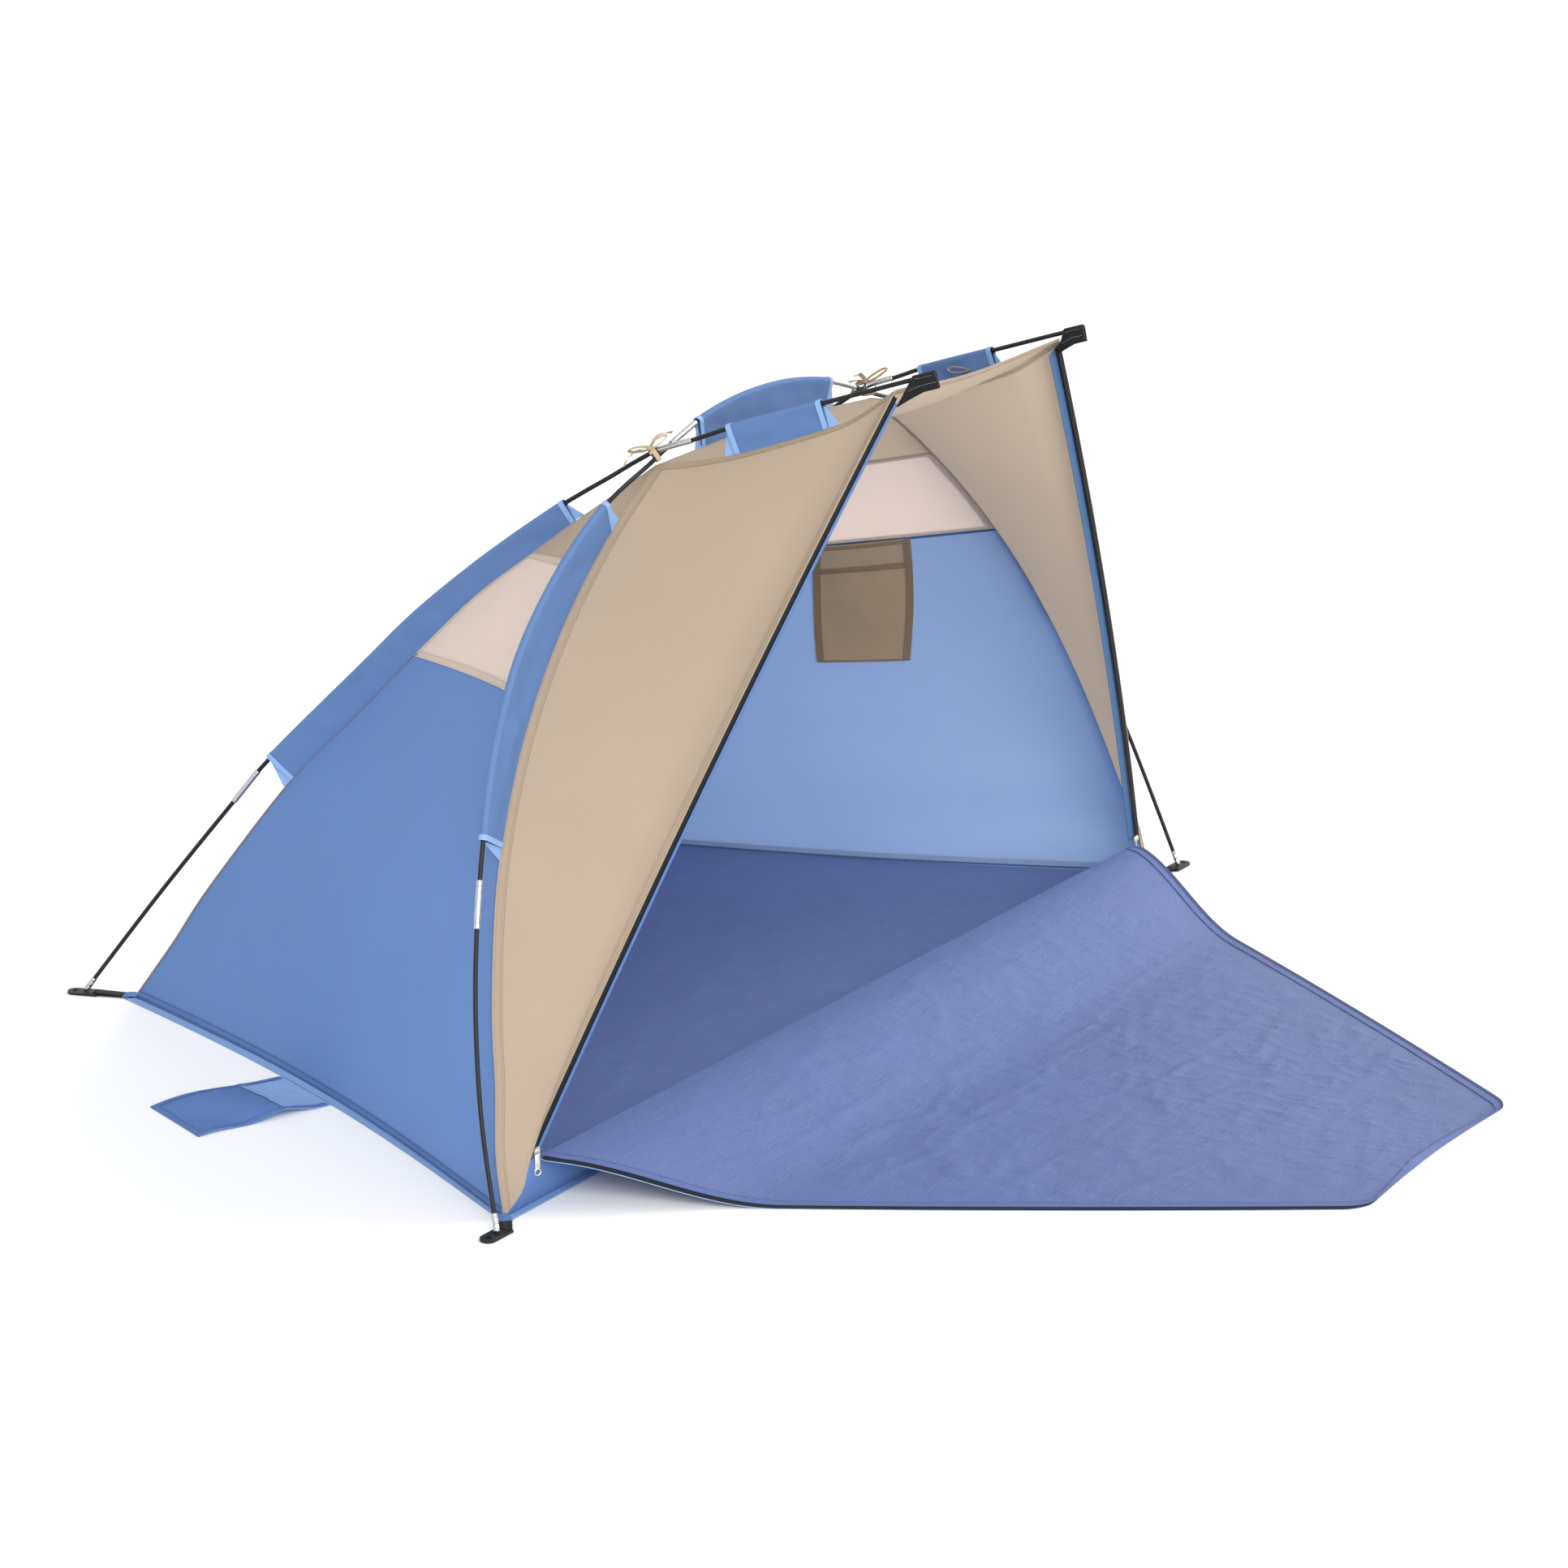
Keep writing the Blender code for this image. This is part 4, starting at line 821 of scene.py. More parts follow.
# Creases of cloth that lies on the ground, and the soft folds that run across the floor
ground = {
    "ridges": (  # size, stretch, sharpness and share of the height
        (0.11, (0.6, 1.6, 1), 8.8, 1.0), (0.05, (1.4, 0.8, 1), 8.0, 0.6)),
    "ridgeSeedStep": 5,
    "swellSize": 0.35,
    "swellSeedStep": 9,
    "swellBase": 0.4,
    "floorCrease": 0.0026,
    "floorColumns": 180,
    "edgeSharpness": 6,
    "foldEdgeSharpness": 4,
    "folds": ((0.075, 0.012, 0.075), (0.42, 0.009, 0.14)),  # distance from the rear, height, half width
    "hemWidth": 0.013,
    "hemLift": 0.0008,
}


def crumpled(grid, seed, height, mask):
    # Fine creases that only stand up from the ground.
    ridges = sum(share * creases(grid, size, seed + index * ground["ridgeSeedStep"], stretch, sharp)
                 for index, (size, stretch, sharp, share) in enumerate(ground["ridges"]))
    swell = (ripple(grid, ground["swellSize"], seed + ground["swellSeedStep"]) + 1) / 2
    lifted = grid.copy()
    lifted[..., 2] += (ridges * height * (ground["swellBase"] + swell) + swell * height) * mask
    return lifted


def makeFloor():
    ends = floorEdge(1)
    v, u = shares(len(ends) - 1), shares(ground["floorColumns"])
    bow = tent["rearHemBow"] * (1 - v)
    grid = np.zeros((len(ends), len(u), 3))
    grid[..., 0] = ends[:, :1] * (2 * u - 1)
    grid[..., 1] = ends[:, 1:2] - bow[:, None] * np.sin(np.pi * u)
    grid[..., 2] = tent["clothThickness"] / 2
    grid = crumpled(grid, seeds["floor"], ground["floorCrease"], heldEdges(grid, ground["edgeSharpness"]))
    fromRear = grid[:1, :, 1] - grid[..., 1]
    inside = heldEdges(grid, ground["foldEdgeSharpness"])
    for place, height, half in ground["folds"]:
        grid[..., 2] += height * np.exp(-((fromRear - place) / half) ** 2) * inside
    sheetPiece("floor_sheet_cloth", grid, "floor", "floor_sheet")
    for edge in ("left", "right", "low", "high"):
        bandPiece("floor_hem_" + edge, grid, edge, hemSpans(ground["hemWidth"]), ground["hemLift"], "flange",
                  centre=(0, 0, -1))


# Door, sill and zips
door = {
    "sideClearance": 0.018,
    "relief": 0.009,
    "reliefLength": 0.030,
    "topClearance": 0.030,
    "landing": 0.300,
    "cornerRadius": 0.026,
    "hingeGap": 0.0006,
    "endBow": 0.009,
    "endBowLength": 0.25,
    "crease": 0.0026,
    "edgeSharpness": 5,
    "profileSteps": 400,
    "rows": 130,
    "cornerRows": 14,
    "columns": 170,
    "hemWidth": 0.016,
    "hemStitches": (0.002, 0.013),
    "hemLine": (0.0155,),
    "tapeStitch": (0.0075,),
    "tapeTuck": 0.004,  # how far the tape lies under the door's edge
    "tapeLift": 0.0001,
    "tapeStart": 0.001,
    "tapeTaper": 0.012,
    "tapeLeast": 0.05,
    "tapeInner": 0.8,  # shares of the tape's width
    "edgingInner": 0.7,
    "tapeFrom": 0.002,
    "edgingDrop": 0.0006,
    "edgingSteps": (0.0008, 0.0013),
}
doorLength = float(zipChord @ doorUp)


def makeDoor():
    away = np.linspace(0, doorLength, door["profileSteps"])
    flatHeight = tent["clothThickness"] / 2
    drop = (1 + np.cos(np.pi * np.minimum(away / door["landing"], 1))) / 2
    profile = np.stack((away * 0, zipFoot[1] - away, flatHeight + (zipFoot[2] - flatHeight) * drop), -1)
    radius = door["cornerRadius"]
    bend = doorLength - door["topClearance"] - radius
    turns = np.pi / 2 * shares(door["cornerRows"])[1:]
    rises = np.concatenate((np.linspace(door["hingeGap"], bend, door["rows"]), bend + radius * np.sin(turns)))
    rounding = radius - np.sqrt(np.maximum(radius ** 2 - np.maximum(rises - bend, 0) ** 2, 0))
    relief = door["relief"] * np.maximum(1 - rises / door["reliefLength"], 0)
    half = zipAt(rises / doorLength)[:, 0] - door["sideClearance"] - rounding - relief
    u = shares(door["columns"])
    grid = atDistance(profile, rises)[:, None] + rightward * ((2 * u - 1)[None, :, None] * half[:, None, None])
    # The end hem draws in between its corners.
    draw = np.maximum(0, 1 - (rises[-1] - rises) / door["endBowLength"]) ** 2
    grid = grid + backward * (door["endBow"] * draw[:, None] * np.sin(np.pi * u)[None])[..., None]
    flat = crumpled(grid, seeds["door"], door["crease"], heldEdges(grid, door["edgeSharpness"]))
    sheetPiece("door_cloth", flat, "mat", "door_panel", "door")
    above, shade = (0, -1, -5), ("door", "threadBlue")
    for edge in ("left", "right", "high"):
        bandPiece("door_hem_" + edge, flat, edge, hemSpans(door["hemWidth"]), hems["lift"], "mat", "door",
                  centre=above)
        stitchBand(flat, edge, door["hemStitches"], hems["threadLift"], shade, centre=above)
        seamLines("door_hem_line_" + edge, flat, edge, door["hemLine"], hems["lineLift"], "tapeNavy", "door",
                  above)
    for name, side in sideWays.items():
        # The left tape lies open beside the hem. The right tape and its edging are painted navy, painted shade
        # where the mat's edge curls.
        taper = np.clip((rises - door["tapeStart"]) / door["tapeTaper"], door["tapeLeast"], 1)
        width = (zipLine["tapeWidth"] + relief / 2) * taper
        outer = half + width
        first = int(np.argmax(rises > door["tapeFrom"]))
        near, far = door["edgingSteps"]
        for kind, across, lift, finish in (
                ("zip_tape", (half - door["tapeTuck"], half, half + width * door["tapeInner"], outer),
                 door["tapeLift"], "zipTape"),
                ("edging", (half + width * door["edgingInner"], outer, outer + near, outer + far),
                 door["tapeLift"] - door["edgingDrop"], "hemBlue")):
            finish = finish if side < 0 else "tapeNavy"
            strip = grid[:, :1].repeat(len(across), 1)
            strip[..., 0] = np.stack(across, 1) * side
            strip[..., 2] += lift
            clothPiece("door_" + kind + "_" + name, strip[first:], finish, "door")
        stitchBand(flat, name, door["tapeStitch"], hems["threadLift"], shade, centre=above)


sill = {
    "columns": 170,
    "rows": 12,
    "inset": 0.0013,
    "foldSize": 0.05,
    "foldStretch": (1, 1, 0.4),
    "foldDepth": 0.008,
    "foldPower": 0.6,
    "hem": (0, 0.001, 0.010, 0.012),
}


def makeSill():
    u, v = shares(sill["columns"]), shares(sill["rows"])
    low = frontCorner - rightward * sill["inset"]
    high = np.array((zipEdgeFoot[0] - sill["inset"], zipEdgeFoot[1], zipFoot[2] - door["hingeGap"]))
    line = low + (high - low) * v[:, None]
    slack = np.sin(np.pi * v)[:, None]
    grid = line[:, None].repeat(len(u), 1)
    grid[..., 0] = (line[:, None, 0] + sillBow[0] * slack) * (2 * u - 1)
    grid[..., 1] += sillBow[1] * slack * np.abs(2 * u - 1) ** 4
    folds = ripple(grid, sill["foldSize"], seeds["sill"], sill["foldStretch"]) * sill["foldDepth"]
    grid[..., 1] -= np.abs(folds) * edgeMask(grid, sill["foldPower"])
    sheetPiece("sill_cloth", grid, "blue", "sill_strip")
    bandPiece("sill_hem", grid, "low", sill["hem"], hems["lift"], "blue", centre=(0, 1, 0.03))


zipShape = {
    "rows": 160,
    "tapeFold": 0.002,
    "coilEnds": (0.012, 0.006),
    "coilPitch": 0.0010,
    "coilInset": 0.0012,
    "coilLift": 0.0009,
    "coilRadius": 0.0006,
    "toothHeight": 0.0003,
    "coilAround": 6,
    "stormRows": 110,
    "stormSpans": (0.003, -0.004, -0.009, -0.0150, -0.0160),
    "stormDepth": 0.0034,
    "stormThreadLift": 0.0005,
}


def makeZip(name, side):
    half = zipLine["tapeWidth"] / 2
    offsets = (-half, zipShape["tapeFold"] - half, 0, half)
    grid = np.stack([besideZip(shares(zipShape["rows"]), offset) for offset in offsets], 1)
    piece = sheetObject("zip_tape_" + name + "_cloth", onSide(grid[1:-1], side))
    dressed(piece, finishes["zipTape"], "tent", ["zip_tape_" + name])
    # The coil of teeth along the tape's inner edge.
    marks = np.arange(zipShape["coilEnds"][0], zipLength - zipShape["coilEnds"][1], zipShape["coilPitch"])
    middle = zipAt(marks / zipLength, zipShape["coilInset"] - half) + doorFront * zipShape["coilLift"]
    radii = zipShape["coilRadius"] + zipShape["toothHeight"] * (np.arange(len(marks)) % 2)
    turns = circle(zipShape["coilAround"])
    around = unit(zipCentre - middle)[:, None] * np.cos(turns) + doorFront * np.sin(turns)
    rings = middle[:, None] + around * radii[:, None, None]
    dressed(tubeObject("zip_coil_" + name, onSide(rings, side)), finishes["zipTape"])
    # A strip of cloth behind the zip keeps the wind out.
    rows = shares(zipShape["stormRows"])[1:-1]
    strip = np.stack([besideZip(rows, span - half) for span in zipShape["stormSpans"]], 1)
    strip = onSide(strip - doorFront * zipShape["stormDepth"], side)
    # The right strip is painted dark blue, painted shade: it is the same cloth as the blue left one.
    clothPiece("storm_strip_" + name, strip, "blue" if side < 0 else "hemDark")
    normals = np.broadcast_to(doorFront, (len(strip), 3))
    for column in (1, 2, 3):
        stitched(strip[:, column] + doorFront * zipShape["stormThreadLift"], normals, ("tent", "threadBlue"))


# Poles
plates = {
    "bar": 0.022,
    "thickness": 0.0038,
    "barWidth": 0.0040,
    "barLift": 0.0019,
    "slotWidth": 0.0048,
    "bevel": 0.0003,
}
poles = {
    "rodRadius": 0.00345,
    "ferruleRadius": 0.00465,
    "ferruleLength": 0.070,
    "hoopFoot": 0.460,
    "hoopTop": 0.452,
    "rearFoot": 0.470,
    "peakRod": 0.438,
    "tipRadius": 0.0046,
    "tipDepth": 0.004,  # how far the rod stands back inside its tip
    "touchGap": 0.0003,
    "step": 0.050,
    "ringStep": 0.012,
    "around": 16,
    "tipProfile": (  # distance from the end, and what is added to the tip's radius
        (0, -0.0007), (0.0006, -0.0002), (0.0015, 0), (0.0090, 0), (0.0096, -0.0004), (0.0104, -0.0004),
        (0.0110, 0), (0.0180, 0), (0.0186, -0.0004), (0.0194, -0.0004), (0.0200, 0), (0.0250, 0),
        (0.0260, -0.0009)),
    "collarProfile": (  # the same for each half of a ferrule
        (0, -0.0008), (0.0004, -0.0002), (0.0010, 0), (0.0075, 0), (0.0080, -0.0005), (0.0088, -0.0005),
        (0.0093, 0), (0.0140, 0)),
}
nearby = 0.004  # the distance over which a curve's direction is taken


def poleLine(points):
    # The tip's lowest edge stands just clear of its plate.
    lean = unit(points[1] - points[0])
    edge = poles["tipRadius"] * math.hypot(lean[0], lean[1])
    points[0][2] = plates["thickness"] + poles["touchGap"] * 2 + edge
    return points


def stepped(points):
    curve = smoothCurve(points, 8)
    count = round(reach(curve)[-1] / poles["step"])
    return smoothCurve(list(atShare(curve, shares(count))), 6)


hoopLeft = poleLine([spot(row, -1) for row in seamShares["hoopPole"]])
hoopPole = stepped(hoopLeft + [spot(seamShares["poleTop"])] + [onSide(point, -1) for point in hoopLeft[::-1]])
rearPole = {name: stepped(poleLine([spot(row, side) for row in seamShares["rearPole"]]))
            for name, side in sideWays.items()}


def wayAlong(line, marks):
    return unit(atDistance(line, np.asarray(marks) + nearby) - atDistance(line, np.asarray(marks) - nearby))


def ringsAlong(line, marks, radii):
    ahead = wayAlong(line, marks)
    across = unit(np.cross(ahead, upward + backward * 0.02))
    over = np.cross(ahead, across)
    turns = circle(poles["around"])
    around = across[:, None] * np.cos(turns) + over[:, None] * np.sin(turns)
    return atDistance(line, marks)[:, None] + around * np.asarray(radii)[:, None, None]


def makeRod(node, line, start, end, tipAt=None):
    marks = np.linspace(start, end, max(4, round(abs(end - start) / poles["ringStep"])))
    rod = tubeObject(node + "_tube", ringsAlong(line, marks, np.full(len(marks), poles["rodRadius"])))
    dressed(rod, finishes["rod"], "tent", [node])
    if tipAt is not None:
        # The steel tip is pressed on, with two rolled grooves.
        places, radii = np.array(poles["tipProfile"]).T
        rings = ringsAlong(line, tipAt + (places if end > start else -places), poles["tipRadius"] + radii)
        dressed(tubeObject(node + "_tip", rings), finishes["steel"], "tent")


def makeFerrule(node, line, middle):
    # A steel tube with a rolled collar near each end.
    half = poles["ferruleLength"] / 2
    places, radii = np.array(poles["collarProfile"]).T
    marks = np.concatenate((middle - half + places, middle + half - places[::-1]))
    rings = ringsAlong(line, marks, poles["ferruleRadius"] + np.concatenate((radii, radii[::-1])))
    dressed(tubeObject(node + "_tube", rings), finishes["steel"], "tent", [node])


def makePoles():
    length, start = reach(hoopPole)[-1], poles["tipDepth"]
    middle, half = length / 2, poles["hoopTop"] / 2
    joints = (poles["hoopFoot"], middle - half, middle + half, length - poles["hoopFoot"])
    makeRod("hoop_foot_rod_left", hoopPole, start, joints[0], 0)
    makeRod("hoop_foot_rod_right", hoopPole, length - start, joints[3], length)
    rods = ("hoop_side_rod_left", "hoop_top_rod", "hoop_side_rod_right")
    for node, low, high in zip(rods, joints, joints[1:]):
        makeRod(node, hoopPole, low, high)
    ferrules = ("side_ferrule_left", "top_ferrule_left", "top_ferrule_right", "side_ferrule_right")
    for node, joint in zip(ferrules, joints):
        makeFerrule(node, hoopPole, joint)
    for name, line in rearPole.items():
        length, lower = reach(line)[-1], poles["rearFoot"]
        upper = length - poles["peakRod"]
        makeRod("rear_foot_rod_" + name, line, start, lower, 0)
        makeRod("rear_middle_rod_" + name, line, lower, upper)
        makeRod("rear_peak_rod_" + name, line, upper, length)
        makeFerrule("rear_ferrule_" + name, line, lower)
        makeFerrule("crossing_ferrule_" + name, line, upper)


# Sleeves
sleeves = {
    "clearance": 0.0016,
    "baseLift": 0.0007,
    "baseHalf": 0.0012,
    "seamPoints": 161,
    "ringStep": 0.010,
    "fewestRings": 12,
    "archSteps": 12,
    "sideSteps": 8,
    "hem": 0.009,
    "hemSwell": 0.0009,
    "hemRings": 5,
    "rear": (0.367, 0.875),  # the shares of its seam between which each sleeve runs
    "side": (0.437, 0.888),
    "roof": (0.312, 0.690),
    "top": (0.205, 0.795),
    "wave": 0.0052,
    "waveSize": 0.045,
    "waveShare": 0.28,
    "waveFade": 10,
    "corner": 0.018,
    "cornerTip": 0.003,
    "cornerDrop": 0.002,
}


def sleeveGrid(line, seam, part, swell=0.0):
    length = reach(seam)[-1]
    rings = max(sleeves["fewestRings"], round((part[1] - part[0]) * length / sleeves["ringStep"]))
    radius = poles["rodRadius"] + sleeves["clearance"] + tent["clothThickness"] / 2 + swell
    half = sleeves["baseHalf"] + swell
    turns, rise = np.pi * shares(sleeves["archSteps"])[:, None], shares(sleeves["sideSteps"])[:, None]
    grid = []
    for mark in np.linspace(part[0] * length, part[1] * length, rings):
        point = atDistance(seam, mark)
        over, along = nearestOn(line, point)
        base = point + unit(over - point) * sleeves["baseLift"]
        grid.append(foldRing(over, along, base, radius, half, turns, rise))
    return np.array(grid)


def waved(grid, seed):
    # The two sides of the fold hang in soft waves between the pole and the seam.
    v, u = shares(grid.shape[0] - 1), shares(grid.shape[1] - 1)
    fromEdge = np.minimum(u, 1 - u) / sleeves["waveShare"]
    side = np.where(fromEdge < 1, np.sin(np.pi * fromEdge), 0)
    fade = np.minimum(1, np.minimum(v, 1 - v) * sleeves["waveFade"])[:, None]
    shift = ripple(grid, sleeves["waveSize"], seed) * side[None] * fade * sleeves["wave"]
    return grid + gridNormals(grid) * shift[..., None]


def makeSleeve(node, line, seam, seed):
    kind = node.split("_")[0]
    part = sleeves[kind]
    grid = waved(sleeveGrid(line, seam, part), seed)
    sheetPiece(node + "_cloth", grid, "sleeve", node)
    length = reach(seam)[-1]
    hem = sleeves["hem"] / length
    for tag, ends in (("start", (part[0], part[0] + hem)), ("end", (part[1] - hem, part[1]))):
        band = sleeveGrid(line, seam, ends, sleeves["hemSwell"])
        band = band[::max(1, len(band) // sleeves["hemRings"])]
        clothPiece(node + "_hem_" + tag, band, "hemBlue")
    # The far layer of the fold runs out into a corner along the seam.
    steps = sleeves["sideSteps"]
    for tag, mark, way in (("start", part[0], -1), ("end", part[1], 1)):
        point = atDistance(seam, mark * length)
        over, along = nearestOn(line, point)
        up = unit(over - point)
        base = point + up * sleeves["baseLift"] * 2
        tip = over - up * (poles["rodRadius"] + sleeves["cornerDrop"])
        foot = np.linspace(base, base + along * (way * sleeves["corner"]), steps)
        head = np.linspace(tip, tip + along * (way * sleeves["cornerTip"]), steps)
        clothPiece(node + "_corner_" + tag, foot + (head - foot) * shares(steps)[:, None, None], "hemBlue")


def makeSleeves():
    hoopLine, rearLine = (seam(np.linspace(0, topRow, sleeves["seamPoints"])) for seam in (hoopSeam, rearSeam))
    makeSleeve("top_sleeve", hoopPole, hoopTop, seeds["topSleeve"])
    for name, side in sideWays.items():
        makeSleeve("rear_sleeve_" + name, rearPole[name], onSide(rearLine, side), seeds["rearSleeve"] + side)
        makeSleeve("roof_sleeve_" + name, rearPole[name], onSide(ridgeSeam, side), seeds["roofSleeve"] + side)
        makeSleeve("side_sleeve_" + name, hoopPole, onSide(hoopLine, side), seeds["sideSleeve"] + side)


# Webbing, feet and ties
straps = {
    "width": 0.0190,
    "thickness": 0.0012,
    "plyGap": 0.0006,
    "endGap": 0.0030,
    "step": 0.004,
    "ribbon": (  # a ribbon's outline, as shares of its thickness and its width
        (-0.5, -0.47), (-0.28, -0.5), (0.28, -0.5), (0.5, -0.47), (0.5, 0), (0.5, 0.47), (0.28, 0.5),
        (-0.28, 0.5), (-0.5, 0.47), (-0.5, 0)),
    "ribbonReach": (0, 0.02, 0.98, 1, 1.03, 1.06, 1.08, 2.04, 2.06, 2.09),  # the way round it, in widths
    "tab": (  # distance out, height and half width of the tab at the floor's corner
        (-0.004, 0.0062, 0.007), (0.004, 0.0068, 0.0100), (0.011, 0.0062, 0.0108), (0.0185, 0.0046, 0.0112),
        (0.020, 0.0043, 0.0112)),
    "tabDroop": 0.0022,
    "tabColumns": 9,
    "tabStitches": (0.003, 0.007),
}


def ribbonRings(path, widthWay, width, thickness, closed):
    # A flat strip's rings, with softened edges.
    path = np.asarray(path)
    if closed:
        before, after = np.roll(path, 1, 0), np.roll(path, -1, 0)
    else:
        before, after = np.vstack((path[:1], path[:-1])), np.vstack((path[1:], path[-1:]))
    over = unit(np.cross(unit(after - before), widthWay))
    widthWay = np.broadcast_to(widthWay, path.shape)
    return np.stack([path + over * (a * thickness) + widthWay * (b * width) for a, b in straps["ribbon"]], 1)


def ribbonObject(name, path, widthWay, width, thickness, closed=False):
    rings = ribbonRings(path, widthWay, width, thickness, closed)
    if closed:
        rings = np.concatenate((rings, rings[:1]))
    made = tubeObject(name, rings, not closed)
    # The weave runs along the strip.
    along = reach(np.asarray(rings).mean(1))
    uvs = np.stack(np.meshgrid(np.array(straps["ribbonReach"]) * width, along), -1).reshape(-1, 2)
    layer = made.data.uv_layers[0]
    index = np.zeros(len(made.data.loops), int)
    made.data.loops.foreach_get("vertex_index", index)
    layer.data.foreach_set("uv", uvs[index].ravel())
    return made


def makeStrap(name, line, corner, out=None):
    level = np.array((1, 1, 0))
    pin, corner = line[0] * level, corner * level
    out = unit(pin - corner) if out is None else out
    across = np.cross(upward, out)
    toward = unit(pin - out * plates["bar"] - corner)
    beside = np.cross(upward, toward)
    half, gap = straps["thickness"] / 2, poles["touchGap"]
    ply = straps["thickness"] + straps["plyGap"]
    innerEnd, lifted = corner + toward * straps["endGap"], corner + toward * tent["floorFlange"] * 2
    low = tent["clothThickness"] + gap + half
    over = plates["thickness"] + gap + half
    under = plates["barLift"] - gap - half
    barEnd = -(plates["bar"] + gap)
    slot = plates["barWidth"] + plates["slotWidth"] / 2 - plates["bar"]
    thick = straps["thickness"]
    bend = [(barEnd, over), (slot - thick, over), (slot, over - thick), (slot, under + thick),
            (slot - thick, under), (barEnd, under)]
    path = [innerEnd + upward * (low + ply), lifted + upward * (low + ply)]
    path += [pin + out * away + upward * height for away, height in bend]
    path += [lifted + upward * low, innerEnd + upward * low]
    ways = [beside] * 2 + [across] * len(bend) + [beside] * 2
    dense, turned = [], []
    for start, end, first, last in zip(path, path[1:], ways, ways[1:]):
        steps = max(1, round(np.linalg.norm(end - start) / straps["step"]))
        for step in range(steps):
            dense.append(start + (end - start) * step / steps)
            turned.append(first + (last - first) * step / steps)
    widths = unit(np.array(turned + [ways[-1]]))
    node = "corner_strap_" + name
    strap = ribbonObject(node + "_webbing", dense + [path[-1]], widths, straps["width"], thick)
    dressed(strap, finishes["webbing"], "tent", [node])
    # A folded tab of tent cloth holds the webbing to the floor's corner.
    u = np.linspace(-1, 1, straps["tabColumns"])[:, None]
    droop = straps["tabDroop"] * u ** 4
    tab = np.array([corner + toward * away + beside * (u * half) + upward * (height - droop)
                    for away, height, half in straps["tab"]])
    clothPiece("corner_tab_" + name, tab, "blue")
    stitchBand(tab, "high", straps["tabStitches"], hems["bareThreadLift"], ("tent", "threadBlue"),
               centre=corner - upward)


def dressMetal():
    # The plates are carried over from the CAD parts.
    for node, piece in nodes.items():
        if node.startswith("ground_plate"):
            piece.data.materials.clear()
            piece.data.materials.append(finishes["plastic"])
            step = piece.modifiers.new("softened", "BEVEL")
            step.width, step.segments, step.limit_method = plates["bevel"], 2, "ANGLE"
            step.angle_limit = math.radians(creaseAngle)


fastening = {
    "around": 32,
    "ringAround": 28,
    "wireAround": 10,
    "bodyRadius": 0.0070,
    "bodyDepth": 0.0050,
    "bodyBevel": 0.0012,
    "capRadius": 0.0042,
    "capDepth": 0.0018,
    "capLift": 0.0004,
    "capBevel": 0.0005,
    "pullLength": 0.034,
    "pullWidth": 0.0085,
    "pullDepth": 0.0014,
    "pullBevel": 0.0006,
    "barHalf": 0.0004,
    "bladeDrop": 0.0036,
    "eyeDrop": 0.0026,
    "ringRadius": 0.0048,
    "ringWire": 0.0013,
    "hookRadius": 0.0030,
    "hookWire": 0.0008,
    "turn": 25.0,
}


def metalPiece(name, body, hides=(), bevel=0.0):
    made = bpy.context.object
    bpy.ops.object.transform_apply(location=True, rotation=True, scale=True)
    made.name = name
    if bevel:
        applied(made, "BEVEL", width=bevel, segments=2, limit_method="ANGLE")
    return dressed(smoothed(made), finishes["zipMetal"], body, hides)


def makeFastening(name, side):
    # A round slider with a bridge over it, and a long pull with an eye at its end.
    slider, pull = nodes["zip_slider_" + name], nodes["zip_pull_" + name]
    middle = Vector(np.mean([tuple(slider.matrix_world @ point.co) for point in slider.data.vertices], 0))
    corners = np.array([tuple(pull.matrix_world @ point.co) for point in pull.data.vertices])
    face = Vector(doorFront)
    hinge = Vector((*corners.mean(0)[:2], corners[:, 2].max() - fastening["barHalf"]))
    lean = face.to_track_quat("Z", "Y").to_euler()
    capAt = middle + face * (fastening["bodyDepth"] / 2 + fastening["capLift"])
    for part, place, slot, hides in (("body", middle, "zip_metal", ["zip_slider_" + name]),
                                     ("cap", capAt, None, ())):
        deselect()
        bpy.ops.mesh.primitive_cylinder_add(vertices=fastening["around"], radius=fastening[part + "Radius"],
                                            depth=fastening[part + "Depth"], location=place, rotation=lean)
        metalPiece("slider_" + part + "_" + name, "slider_" + name, hides, fastening[part + "Bevel"])
    turn = math.radians(fastening["turn"]) * side
    wire, eye = fastening["ringWire"], fastening["ringRadius"]
    length = fastening["pullLength"] - eye * 2
    deselect()
    bpy.ops.mesh.primitive_cube_add(
        location=hinge - Vector((0, 0, fastening["bladeDrop"] + length / 2)), rotation=(0, 0, turn),
        scale=(fastening["pullWidth"] / 2, fastening["pullDepth"] / 2, length / 2))
    metalPiece("pull_blade_" + name, "pull_" + name, ["zip_pull_" + name], fastening["pullBevel"])
    quarter = math.radians(90)
    for tag, drop, radius, thick, lean in (
            ("eye", length + eye + fastening["eyeDrop"], eye, wire, (quarter, 0, turn)),
            ("hook", 0, fastening["hookRadius"], fastening["hookWire"], (0, quarter, 0))):
        deselect()
        bpy.ops.mesh.primitive_torus_add(
            major_radius=radius, minor_radius=thick, major_segments=fastening["ringAround"],
            minor_segments=fastening["wireAround"], location=hinge - Vector((0, 0, drop)), rotation=lean)
        metalPiece("pull_" + tag + "_" + name, "pull_" + name)


pocket = {
    "length": 0.030,
    "clearance": 0.0008,
    "overhang": 0.006,
    "endRound": 0.0008,
    "endSize": 0.82,
    "wall": 0.0016,
    "drop": 0.021,
    "seat": 0.0037,
    "half": 0.003,
    "rings": 14,
    "easeRings": 4,  # the rings over which the sewn end eases into the hanging one
    "archSteps": 10,
    "sideSteps": 6,
    "stitchColumns": (3, 6),
    "threadLift": 0.0002,
}


